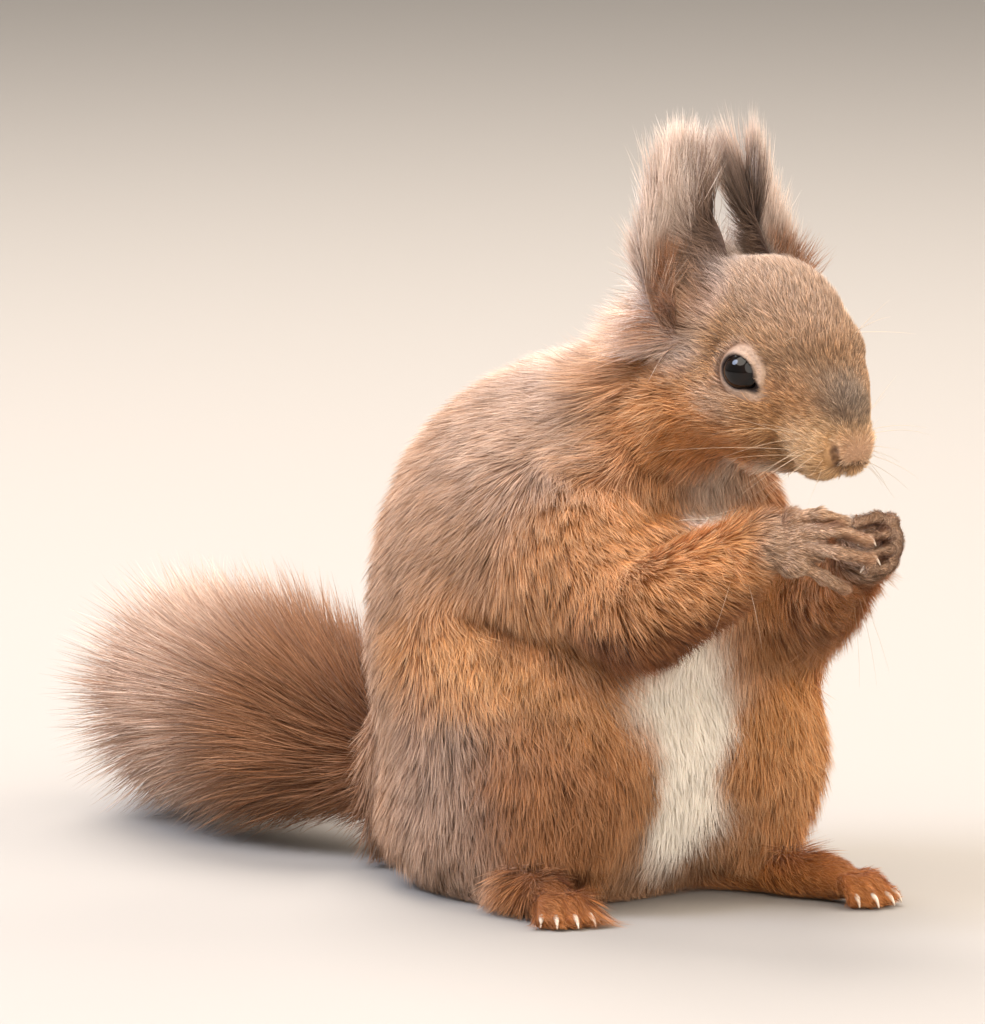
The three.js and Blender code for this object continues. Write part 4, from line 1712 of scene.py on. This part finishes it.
@dataclass
class Skin:
    """The one skin, with what the coat needs to know of it."""

    thing: bpy.types.Object
    net: Net
    normals: Array
    places: Array  # where each corner of each triangle lies on the unwrap
    darkness: float = 0.35  # how far the skin's colour lies from the hair's root towards its shaft

    @classmethod
    def over(cls, nets: list[Net]) -> "Skin":
        """Joins the nets into one skin and unwraps it.

        Args:
            nets: closed nets of triangles that overlap.

        Returns:
            The skin.
        """
        thing = united(nets, "skin")
        unwrapped(thing)
        mesh = thing.data
        net = triangles(mesh)
        corners = np.empty(len(mesh.loop_triangles) * 3, dtype=np.int32)
        mesh.loop_triangles.foreach_get("loops", corners)
        places = np.empty(len(mesh.loops) * 2)
        mesh.uv_layers["OFBake"].data.foreach_get("uv", places)
        return cls(thing, net, normals_of(mesh), places.reshape(-1, 2)[corners].reshape(-1, 3, 2))

    def dress(self, pattern: Pattern) -> bpy.types.Object:
        """Colours the skin like the coat over it, darker, and lets it stand for the flesh.

        Args:
            pattern: the coat's markings.

        Returns:
            The finished skin.
        """
        colours, _ = pattern.tones(self.net.points, self.normals)
        tinted(self.thing, mix(colours[:, 0], colours[:, 1], self.darkness))
        flesh = [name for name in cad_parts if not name.startswith("eye_")]
        return finished(self.thing, BARE, "brown_coat", *flesh)


def unwrapped(thing: bpy.types.Object) -> None:
    """Lays the skin's own shape out flat, in a map named OFBake.

    Args:
        thing: the skin.
    """
    thing.data.uv_layers.new(name="OFBake")
    bpy.context.view_layer.objects.active = thing
    thing.select_set(True)
    bpy.ops.object.mode_set(mode="EDIT")
    bpy.ops.mesh.select_all(action="SELECT")
    bpy.ops.uv.smart_project(angle_limit=math.radians(66.0), island_margin=0.002)
    bpy.ops.object.mode_set(mode="OBJECT")


SLOTS = {
    Part.TAIL: "tail_coat",
    Part.TAIL_ROOT: "tail_coat",
    Part.BELLY: "cream_coat",
    Part.UPPER_ARM: "rust_coat",
    Part.FOREARM: "rust_coat",
    Part.THIGH: "rust_coat",
    Part.HAND: "hand_skin",
    Part.FOOT: "foot_skin",
    Part.EAR_FRONT: "ear_coat",
    Part.EAR_BACK: "ear_coat",
    Part.EAR_FRINGE: "ear_coat",
    Part.EAR_TUFT: "ear_coat",
}


@dataclass
class Roots:
    """Where hairs grow, and what each is like."""

    points: Array
    normals: Array
    places: Array
    lies: Array
    hair: Array  # a column for each trait
    parts: Array

    def trait(self, name: str) -> Array:
        """One trait of every hair."""
        return self.hair[:, TRAITS.index(name)]

    def of(self, chosen: Array) -> "Roots":
        """The chosen roots."""
        return Roots(*(getattr(self, name)[chosen] for name in self.__dataclass_fields__))


@dataclass(frozen=True)
class Coat:
    """The hair over the whole skin."""

    pelt: Pelt
    pattern: Pattern
    bare: list[Egg]
    patch: float = 0.003  # the size of each hair's place on the unwrap
    most: int = 190_000  # triangles in one piece
    quick_share: float = 0.25  # of the hairs, in a quick draft
    lowest: float = 0.6  # mm above the ground, below which no hair grows on skin that faces down
    facing_down: float = -0.4  # the height of such skin's normal
    sways: tuple[tuple[float, float], ...] = ((0.3, 11.0), (0.22, 4.0))  # the lie's drift: strength and mm
    sink: float = 0.25  # mm that a root lies under the skin
    full_sink: float = 6.0  # mm of hair from which a root lies at its full depth
    lengths: tuple[float, float] = (0.72, 1.12)  # the least and the greatest, as a share of the part's
    lifts: tuple[float, float] = (0.75, 1.3)
    widths: tuple[float, float] = (0.75, 1.25)
    bow: float = 0.06  # how far hairs bend to one side
    roll: float = 0.9  # how far hairs turn about themselves, in radians
    narrowing: float = 0.45  # from the root to the tip
    floor: tuple[float, float] = (0.15, 0.9)  # mm that low hairs keep above the ground: the least, the spread
    paleness: tuple[float, float] = (0.62, 0.28)  # of the tips: the middle and the spread
    dimming: float = 0.45  # of the dark hairs
    shading: float = 0.34  # painted shade: how much darker a lock is at its edge
    mottling: float = 0.12  # of the lengths and the colours, from place to place

    def roots(self, skin: Skin, thinning: float) -> Roots:
        """Scatters roots over the skin, as densely as each part asks.

        Args:
            skin: what they grow on.
            thinning: the share of the roots that are kept.

        Returns:
            The roots.
        """
        rng = np.random.default_rng(SEED)
        corners = skin.net.points[skin.net.faces]
        spans = np.cross(corners[:, 1] - corners[:, 0], corners[:, 2] - corners[:, 0])
        areas = np.linalg.norm(spans, axis=1) / 2.0
        hair, _, _ = self.blended(corners.mean(axis=1))
        density = hair[:, TRAITS.index("density")]
        counts = np.floor(areas * density * thinning + rng.uniform(size=len(areas))).astype(int)
        face = np.repeat(np.arange(len(areas)), counts)
        share = rng.uniform(size=(len(face), 2))
        share = np.where(share.sum(axis=1, keepdims=True) > 1.0, 1.0 - share, share)
        share = np.column_stack([1.0 - share.sum(axis=1), share])[:, :, None]
        points = (corners[face] * share).sum(axis=1)
        normals = unit((skin.normals[skin.net.faces[face]] * share).sum(axis=1))
        places = (skin.places[face] * share).sum(axis=1)
        hair, lies, parts = self.blended(points)
        kept = (points[:, 2] > self.lowest) | (normals[:, 2] > self.facing_down)
        for egg in self.bare:
            kept &= egg.distance(HEAD.inward(points)) > 0.0
        return Roots(points, normals, places, laid_on(lies, normals), hair, parts).of(kept)

    def blended(self, points: Array) -> tuple[Array, Array, Array]:
        """The hair, the way it lies and the part that has most say, at each point.

        Args:
            points: places on the skin.

        Returns:
            The hair's measures, a row for each point; its lie; and the number of the part.
        """
        weights, directions, parts = self.pelt.weights(points)
        table = np.array([list(vars(HAIR[part]).values()) for part in parts])
        order = list(Part)
        number = np.array([order.index(part) for part in parts])
        return weights @ table, weights @ directions, number[weights.argmax(axis=1)]

    def spines(self, roots: Roots, rings: tuple[float, ...], seed: int, rng: np.random.Generator) -> Array:
        """Bends a line from each root to the tip of its hair.

        Args:
            roots: where the hairs grow.
            rings: how far along the hair its bends lie.
            seed: of what neighbouring hairs share.
            rng: of what each hair has for itself.

        Returns:
            The points of each line: its root, its bends and its tip.
        """
        count = len(roots.points)
        length, lift, rest, _, _, lock, gather, stray = (column[:, None] for column in roots.hair.T)
        patchy = 1.0 + self.mottling * drift(roots.points, 9.0, 3)[:, :1]
        length = length * rng.uniform(*self.lengths, (count, 1)) * patchy
        sway = sum(far * drift(roots.points, mm, seed + i) for i, (far, mm) in enumerate(self.sways, start=1))
        lie = laid_on(roots.lies + sway + stray * rng.normal(size=(count, 3)), roots.normals)
        pull = lock_roots(roots.points, float(np.median(lock)), seed + 3) - roots.points
        pull = pull - along(pull, roots.normals) * roots.normals
        lift = lift * rng.uniform(*self.lifts, (count, 1))
        bow = rng.normal(0.0, self.bow, (count, 1)) * np.cross(lie, roots.normals)
        stops = (0.0, *rings, 1.0)
        path = [roots.points - self.sink * np.minimum(1.0, length / self.full_sink) * roots.normals]
        for near, far in zip(stops, stops[1:]):
            angle = np.radians(mix(lift, rest, (near + far) / 2.0))
            step = np.cos(angle) * lie + np.sin(angle) * roots.normals + bow * (near + far)
            drawn = pull * gather * (far**1.3 - near**1.3)
            path.append(path[-1] + unit(step) * length * (far - near) + drawn)
        return np.stack(path, axis=1)

    def strands(self, roots: Roots, rings: tuple[float, ...], seed: int) -> tuple[Array, Array, Array]:
        """Grows a hair from each root: a narrow ribbon from a point at the root to a point at the tip.

        Args:
            roots: where the hairs grow.
            rings: how far along the hair each pair of side points lies.
            seed: of the hairs' chances.

        Returns:
            The points, how far along its hair each one is, and how far across.
        """
        rng = np.random.default_rng(seed)
        spine = self.spines(roots, rings, seed, rng)
        count = len(spine)
        ahead = unit(np.gradient(spine, axis=1))
        flat = unit(np.cross(ahead, roots.normals[:, None]))
        edge = np.cross(ahead, flat)
        roll = rng.uniform(-self.roll, self.roll, (count, 1, 1))
        side = np.cos(roll) * flat + np.sin(roll) * edge
        girth = roots.trait("width")[:, None] * rng.uniform(*self.widths, (count, 1)) / 2.0
        points, reach, across = [spine[:, 0]], [0.0], [0.0]
        for i, ring in enumerate(rings, start=1):
            half = side[:, i] * girth * (1.0 - self.narrowing * ring)
            points += [spine[:, i] - half, spine[:, i] + half]
            reach += [ring, ring]
            across += [-0.5, 0.5]
        points.append(spine[:, -1])
        reach.append(1.0)
        across.append(0.0)
        whole = np.stack(points, axis=1)
        least, spread = self.floor
        whole[:, :, 2] = np.maximum(whole[:, :, 2], least + spread * rng.uniform(size=(count, 1)))
        return whole, np.array(reach), np.array(across)

    def tints(self, roots: Roots, reach: Array, seed: int) -> Array:
        """Colours each hair along its length, with chances of its own and painted shade at lock edges.

        Args:
            roots: where the hairs grow.
            reach: how far along its hair each point is.
            seed: of the hairs' chances.

        Returns:
            The linear colour of each point of each hair.
        """
        rng = np.random.default_rng(seed + 50)
        count = len(roots.points)
        colours, variety = self.pattern.tones(roots.points, roots.normals)
        spread, dark = variety[:, :1], variety[:, 1:]
        root, shaft, tip = (colours[:, None, i] for i in range(3))
        pale = np.clip(rng.normal(*self.paleness, (count, 1, 1)), 0.0, 1.0)
        rise = smooth_step(0.05, 0.5, reach)[None, :, None]
        end = smooth_step(0.45, 1.0, reach)[None, :, None] * pale
        tint = mix(mix(root, shaft, rise), tip, end)
        tint = tint * np.exp(spread[:, :, None] * rng.normal(size=(count, 1, 1)))
        tint = np.where((rng.uniform(size=(count, 1)) < dark)[:, :, None], self.dimming * tint, tint)
        tint = tint * (1.0 + self.mottling * drift(roots.points, 8.0, SEED + 9)[:, None, :1])
        # Painted shade: locks darker at their edges, a little lighter in their middles, less so when pale.
        size = float(np.median(roots.trait("lock")))
        apart = np.linalg.norm(lock_roots(roots.points, size, seed + 3) - roots.points, axis=1) / size
        deep = self.shading * (1.0 - 0.7 * colours[:, 1].mean(axis=1))
        return tint * (1.1 - deep * smooth_step(0.15, 0.7, apart))[:, None, None]

    def piece(self, name: str, roots: Roots, rings: tuple[float, ...], seed: int) -> bpy.types.Object:
        """Builds and colours one piece of the coat, and gives each hair its patch of the unwrap.

        Args:
            name: of the piece.
            roots: where its hairs grow.
            rings: how far along a hair each pair of side points lies.
            seed: of the hairs' chances.

        Returns:
            The piece, without its finish.
        """
        points, reach, across = self.strands(roots, rings, seed)
        count, size, _ = points.shape
        ribbon = [(0, 2, 1)]
        for i in range(1, size - 3, 2):
            ribbon += [(i, i + 1, i + 3), (i, i + 3, i + 2)]
        ribbon.append((size - 3, size - 2, size - 1))
        faces = (np.arange(count)[:, None, None] * size + np.array(ribbon)).reshape(-1, 3)
        piece = Net(points.reshape(-1, 3), faces).thing(name)
        tinted(piece, self.tints(roots, reach, seed).reshape(-1, 3))
        patch = np.stack([across, reach - 0.5], axis=1) * self.patch
        places = (roots.places[:, None] + patch).reshape(-1, 2)[faces.ravel()]
        layer = piece.data.uv_layers.new(name="OFBake")
        layer.data.foreach_set("uv", places.astype(np.float32).ravel())
        return piece

    def grow(self, skin: Skin) -> list[bpy.types.Object]:
        """Grows the whole coat, part by part.

        Args:
            skin: what it grows on.

        Returns:
            The finished pieces.
        """
        roots = self.roots(skin, 1.0)
        pieces = []
        for index, part in enumerate(Part):
            own = np.flatnonzero(roots.parts == index)
            rings = HAIR[part].rings()
            chunks = max(1, math.ceil(len(own) * 2 * len(rings) / self.most))
            for chunk in range(chunks):
                suffix = f"_{chunk + 1}" if chunks > 1 else ""
                chosen = roots.of(own[chunk::chunks])
                piece = self.piece(f"coat_{part.value}{suffix}", chosen, rings, 100 * index + 7 * chunk)
                pieces.append(finished(piece, COAT, SLOTS.get(part, "brown_coat")))
        return pieces


UP: Point = (0, 0, 1)
DOWN: Point = (0, 0, -1)
FORWARD: Point = (0, -1, 0)
BACKWARD: Point = (0, 1, 0)
UNDERSIDE_SHADE = {"right": 1.0, "left": 0.3}  # share of painted shade under each side's thigh and arm


def trunk_markings() -> list[Marking]:
    """The markings of the neck, trunk and tail.

    Returns:
        The markings, in the order they are laid.
    """
    return [
        Marking(Tones.NAPE, (0, -8, 122), (26, 38, 19), 0.6),
        Marking(Tones.FLANK, (0, 2, 44), (46, 34, 44), 0.4),
        Marking(Tones.BACK, (0, 52, 60), (34, 30, 60), 0.45),
        Marking(Tones.RUST, (0, -26, 64), (38, 24, 34), 0.35),
        Marking(Tones.CREAM, (0, -40, 62), (22, 22, 22), 0.2),
        Marking(Tones.CREAM, (0, -36, 42), (11.5, 26, 42), 0.2),
        Marking(Tones.CREAM, (1, -50, 93), (15, 21, 15), 0.3),
        *(Marking(Tones.SHADE, (x, -44, 97), (10, 17, 11), 0.5, share=0.7) for x in (-10, 10)),
        Marking(Tones.TAIL, (8, 118, 24), (60, 62, 60), 0.12),
        Marking(Tones.TAIL_CORE, (-1, 66, 20), (26, 22, 22), 0.5),
    ]


def side_markings(side: float, deep: float) -> list[Marking]:
    """The markings of one side's flank, thigh, foot and shoulder, with painted shade and light.

    Args:
        side: 1 on the left, -1 on the right.
        deep: how much painted shade the side shows on its thigh.

    Returns:
        The markings, in the order they are laid.
    """
    return [
        Marking(Tones.RUST, (side * 33, -24, 30), (20, 22, 36), 0.35),
        Marking(Tones.RUST, (side * 30, 4, 56), (20, 24, 12), 0.5, share=0.9),
        Marking(Tones.THIGH, (side * 42, 12, 24), (17, 20, 28), 0.5),
        # Partly painted light: a paler strip on the lit top of the thigh.
        Marking(Tones.RUST, (side * 36, 2, 51), (10, 18, 7), 0.6, share=0.8),
        Marking(Tones.FOOT, (side * 30, -40, 4), (22, 34, 10), 0.4),
        # Partly painted light: a gold band along the lit top of the thigh, below the fold.
        Marking(Tones.GOLD, (side * 36, 9, 56), (8, 12, 5), 0.6, share=0.6),
        Marking(Tones.GOLD, (side * 33, -9, 52), (8, 12, 5), 0.6, share=0.6),
        Marking(Tones.GOLD, (side * 28, -24, 46), (8, 10, 6), 0.6, share=0.5),
        # Painted shade in the fold where the flank hangs over the thigh.
        Marking(Tones.UMBER, (side * 37, 0, 59.5), (9, 11, 2.6), 0.7, share=0.35),
        Marking(Tones.UMBER, (side * 33, -20, 54), (9, 9, 3), 0.6, share=0.4),
        # Painted shade on the lower thigh, less on the left.
        Marking(Tones.UMBER, (side * 34, -20, 26), (18, 20, 26), 0.6, share=0.6 * deep),
        Marking(Tones.NAPE, (side * 25, -8, 101), (15, 22, 13), 0.6, share=0.45),
    ]


def arm_markings(arm: Arm, deep: float) -> list[Marking]:
    """The markings of one arm and hand, with painted shade underneath and painted light on top.

    Args:
        arm: the arm.
        deep: how much of the painted shade under the elbow and forearm it shows.

    Returns:
        The markings, in the order they are laid.
    """
    elbow, wrist = np.array(arm.elbow, dtype=float), np.array(arm.wrist, dtype=float)
    top, under = tuple(mix(elbow, wrist, 0.6) + [0, 0, 4]), tuple(mix(elbow, wrist, 0.3) + [0, 0, -6])
    fingers = np.mean([digit[1] for digit in arm.digits], axis=0)
    marks = [
        Marking(Tones.RUST, tuple(elbow + [0, 2, 6]), (21, 25, 21), 0.35),
        Marking(Tones.RUST, tuple(mix(elbow, wrist, 0.55)), (15, 19, 15), 0.3),
        # Painted shade under the elbow.
        Marking(Tones.UMBER, tuple(elbow + [0, 0, -5]), (17, 20, 10), 0.6, share=0.55 * deep),
        # Painted light on the top of the forearm.
        Marking(Tones.GOLD, top, (13, 20, 10), 0.6, share=0.75, facing=UP),
        # Dark hair under the forearm, deepened by painted shade.
        Marking(Tones.UMBER, under, (17, 24, 12), 0.3, share=0.8 * deep, facing=DOWN),
        Marking(Tones.HAND, tuple(mix(fingers, np.array(arm.palm), 0.75)), (11.5, 11, 11.5), 0.3),
    ]
    # Painted shade in the gaps between the digits.
    for hollow in arm.hollows():
        marks.append(Marking(Tones.UMBER, tuple(hollow), (3, 4.5, 0.9), 0.6, PLAIN, 0.8))
    return marks


def head_markings() -> list[Marking]:
    """The markings of the head's crown, cheeks, chin and muzzle.

    Returns:
        The markings, in the order they are laid.
    """
    return [
        Marking(Tones.HEAD, (0, 4, 0), (24, 34, 26), 0.25, HEAD),
        Marking(Tones.BROW, (0, 6, 18), (17, 22, 12), 0.5, HEAD),
        Marking(Tones.RUST, (-13, 8, -20), (11, 24, 13), 0.5, HEAD, 0.95),
        Marking(Tones.RUST, (15, 8, -20), (11, 24, 13), 0.5, HEAD, 0.95),
        Marking(Tones.CREAM, (0, -6, -23), (4, 16, 6), 0.5, HEAD, 0.9, DOWN),
        Marking(Tones.MUZZLE, (0, -19, -9), (12, 13, 9.5), 0.7, HEAD),
        Marking(Tones.BRIDGE, (0, -17, 2), (6, 9.5, 4.5), 0.7, HEAD),
        Marking(Tones.NOSE, (0, -25, -6.0), (4.4, 2.8, 2.9), 0.7, HEAD, 0.8),
    ]


def face_markings(side: float) -> list[Marking]:
    """The markings of one side of the face: the snout, the eye, and the nostril's painted shade.

    Args:
        side: 1 on the left, -1 on the right.

    Returns:
        The markings, in the order they are laid.
    """
    socket = EyeSocket(side)
    rim = tuple(radius + 0.25 for radius in socket.opening)
    return [
        Marking(Tones.RUST, (side * 8.5, -10, -1), (5, 8, 6), 0.6, HEAD, 0.4),
        Marking(Tones.BRIDGE, (side * 7, -9, 4.5), (5, 7, 4), 0.7, HEAD, 0.4),
        Marking(Tones.EAR_RIM, (side * 4.6, -16.4, 1.0), (2.2, 3.0, 1.3), 0.6, HEAD, 0.75),
        Marking(Tones.EAR_RIM, (side * 2.4, -20.0, -0.4), (2.2, 2.8, 1.3), 0.6, HEAD, 0.75),
        Marking(Tones.BROW, socket.at(0.5, 0.0, -8.5), (5, 6, 3.5), 0.6, HEAD, 0.6),
        Marking(Tones.EYE_RING, socket.at(2.6, 0.9, 0.6), (5.6, 5.6, 5.7), 0.16, HEAD),
        Marking(Tones.EYE_RING, socket.at(2.6, 4.4, -1.0), (3.4, 3.4, 2.6), 0.3, HEAD),
        Marking(Tones.LID, (2.6, 0, 0), (3.0, *rim), 0.12, socket.space()),
        Marking(Tones.LID, (3.0, socket.corner, side * 0.5), (3.0, 2.4, 1.5), 0.25, socket.space()),
        # Painted shade in the nostril and in the groove under the nose.
        Marking(Tones.NOSTRIL, (side * 4.9, -24.3, -6.3), (0.75, 1.2, 1.3), 0.5, HEAD, 0.9),
        Marking(Tones.NOSTRIL, (side * 4.3, -24.6, -7.9), (0.75, 1.1, 0.8), 0.5, HEAD, 0.9),
        Marking(Tones.NOSTRIL, (side * 2.9, -25.0, -9.0), (1.7, 1.3, 0.75), 0.5, HEAD, 0.95),
        Marking(Tones.NOSTRIL, (side * 1.0, -25.2, -9.7), (2.0, 1.3, 0.65), 0.5, HEAD, 0.8),
    ]


def ear_markings(ear: Ear) -> list[Marking]:
    """The markings of one ear.

    Args:
        ear: the ear.

    Returns:
        The markings, in the order they are laid.
    """
    side, space = ear.side, ear.space()
    return [
        Marking(Tones.EAR_PALE, (0, 2, 12), (14, 14, 24), 0.2, space),
        Marking(Tones.EAR_HAIR, (side * -1, 2, 1), (8, 12, 9), 0.4, space, 0.9, FORWARD),
        Marking(Tones.EAR_HOLLOW, (side * 1.0, 4, 4), (4.6, 6, 9), 0.5, space, 0.85, FORWARD),
        Marking(Tones.EAR_RIM, (side * -8, -1, 7), (4.2, 6, 12), 0.5, space, 0.95),
        Marking(Tones.EAR_RIM, (side * -5.5, -1, 20), (3.4, 6, 9), 0.5, space, 0.8),
        Marking(Tones.BROW, (0, 10, 8), (10, 6, 14), 0.5, space, 0.5, BACKWARD),
    ]


def markings() -> list[Marking]:
    """The whole coat's markings.

    Returns:
        The markings, in the order they are laid.
    """
    marks = trunk_markings()
    for name, side in SIDES.items():
        marks += side_markings(side, UNDERSIDE_SHADE[name])
    for name, arm in ARMS.items():
        marks += arm_markings(arm, UNDERSIDE_SHADE[name])
    marks += [
        Marking(Tones.GOLD, (30, -30, 41), (15, 16, 16), 0.6, share=0.7),  # painted light on the left thigh
        Marking(Tones.CREAM, (-5, -40, 47), (18, 20, 12), 0.3),  # the belly, under the hands
    ]
    marks += head_markings()
    for name, side in SIDES.items():
        marks += face_markings(side) + ear_markings(EARS[name])
    return marks


# ---------------------------------------------------------------- the studio


@dataclass(frozen=True)
class Lamp:
    """A soft round light that faces the squirrel."""

    name: str
    azimuth: float  # degrees from straight ahead of the squirrel towards its left
    elevation: float  # degrees above the ground
    size: float  # m across
    watts: float
    tint: str


LAMPS = (
    Lamp("key", -76.0, 58.0, 1.4, 25.0, "fff4e6"),
    Lamp("catch", -114.0, 44.0, 0.75, 25.0, "cfdfff"),
    Lamp("fill", -10.0, 22.0, 1.6, 19.0, "fff6ec"),
    Lamp("rim", 150.0, 55.0, 1.2, 38.0, "fff8f2"),
    Lamp("edge", 65.0, 35.0, 1.2, 18.0, "fff4e8"),
)


def towards(azimuth: float, elevation: float) -> Vector:
    """The direction from the squirrel at an azimuth and an elevation, in degrees."""
    yaw, rise = math.radians(azimuth), math.radians(elevation)
    return Vector((math.sin(yaw) * math.cos(rise), -math.cos(yaw) * math.cos(rise), math.sin(rise)))


@dataclass(frozen=True)
class Studio:
    """The floor, the world's light, the lamps and the camera."""

    azimuth: float = -45.0
    elevation: float = 8.0
    distance: float = 3.0  # m
    lens: float = 506.0  # mm
    sensor: float = 36.0  # mm
    sight: float = 50.0  # m
    aim: tuple[float, float] = (-22.4, 80.1)  # mm to the right of the origin and above the ground
    lamp_distance: float = 1.5  # m
    lamp_aim: Point = (0.0, 0.0, 0.08)  # m
    floor_reach: float = 12.0  # m
    floor_tint: str = "938d86"
    floor_roughness: float = 0.9
    world_tint: str = "d9d4cc"
    world_strength: float = 0.6

    def target(self) -> Vector:
        """The point that the camera looks at.

        Returns:
            The point, in the model's metres.
        """
        yaw = math.radians(self.azimuth)
        own = np.array([[self.aim[0] * math.cos(yaw), self.aim[0] * math.sin(yaw), self.aim[1]]])
        return Vector(in_model(own)[0])

    def camera(self) -> None:
        """Sets up the camera."""
        camera = bpy.data.objects.new("camera", bpy.data.cameras.new("camera"))
        back = towards(self.azimuth, self.elevation)
        camera.location = self.target() + back * self.distance
        camera.rotation_euler = (-back).to_track_quat("-Z", "Y").to_euler()
        camera.data.lens = self.lens
        camera.data.sensor_width = self.sensor
        camera.data.clip_end = self.sight
        bpy.context.scene.collection.objects.link(camera)
        bpy.context.scene.camera = camera

    def hang(self, lamp: Lamp) -> None:
        """Hangs a lamp, facing the squirrel.

        Args:
            lamp: the lamp.
        """
        light = bpy.data.lights.new(lamp.name, "AREA")
        light.shape = "DISK"
        light.size = lamp.size
        light.energy = lamp.watts
        light.color = colour(lamp.tint)
        away = towards(lamp.azimuth, lamp.elevation)
        thing = bpy.data.objects.new(lamp.name, light)
        thing.location = Vector(self.lamp_aim) + away * self.lamp_distance
        thing.rotation_euler = (-away).to_track_quat("-Z", "Y").to_euler()
        bpy.context.scene.collection.objects.link(thing)

    def floor(self) -> None:
        """Lays a wide pale floor."""
        mesh = bpy.data.meshes.new("floor")
        reach = self.floor_reach
        corners = [(-reach, -reach, 0.0), (reach, -reach, 0.0), (reach, reach, 0.0), (-reach, reach, 0.0)]
        mesh.from_pydata(corners, [], [(0, 1, 2, 3)])
        floor = bpy.data.objects.new("floor", mesh)
        material = bpy.data.materials.new("pale floor")
        material.use_nodes = True
        shader = material.node_tree.nodes["Principled BSDF"]
        shader.inputs["Base Color"].default_value = (*colour(self.floor_tint), 1.0)
        shader.inputs["Roughness"].default_value = self.floor_roughness
        mesh.materials.append(material)
        bpy.context.scene.collection.objects.link(floor)

    def set_up(self) -> None:
        """Builds the whole studio."""
        world = bpy.data.worlds.new("studio")
        world.use_nodes = True
        sky = world.node_tree.nodes["Background"]
        sky.inputs["Color"].default_value = (*colour(self.world_tint), 1.0)
        sky.inputs["Strength"].default_value = self.world_strength
        bpy.context.scene.world = world
        bpy.context.scene.view_settings.view_transform = "Standard"
        self.floor()
        self.camera()
        for lamp in LAMPS:
            self.hang(lamp)


def bare_places() -> list[Egg]:
    """The places on the head where no hair grows.

    Returns:
        Eggs in the head's frame, round each eye, its inner corner and the nostril.
    """
    places = []
    for side in SIDES.values():
        socket = EyeSocket(side)
        places += [
            Egg(socket.at(2.8, 0.8, 0.7), (5.3, 5.3, 5.4)),
            Egg(socket.at(2.8, 5.0, -0.9), (3.8, 3.8, 2.9)),
            Egg((side * 4.4, -24.6, -7.0), (2.0, 1.8, 2.6)),
        ]
    return places


def main() -> None:
    """Builds the squirrel and its studio, in order."""
    logging.basicConfig(level=logging.INFO, format="%(message)s")
    Studio().set_up()
    tail = Tail()
    lies = spine_lies() + limb_lies() + head_lies() + tail.lies()
    for ear in EARS.values():
        lies += ear.lies()
    pelt = Pelt(lies)
    pattern = Pattern(Tones.BACK, markings())
    nets = [Trunk().net(pelt), Head().net(), tail.net()]
    nets += [Hand(arm).net() for arm in ARMS.values()]
    nets += [Foot(leg).net() for leg in LEGS.values()]
    nets += [ear.net() for ear in EARS.values()]
    for net in nets:
        log.info("net of %d points", len(net.points))
    skin = Skin.over([triangulated(net) for net in nets])
    skin.dress(pattern)
    Coat(pelt, pattern, bare_places()).grow(skin)
    for side in SIDES:
        Eye(side).make()
        Claws(f"claws_hand_{side}", list(ARMS[side].digits), radius=0.75, slot="hand_skin").make()
        Claws(f"claws_foot_{side}", LEGS[side].toe_paths(), radius=0.85, slot="foot_skin").make()
    Whiskers().make()


if __name__ == "__main__":
    main()
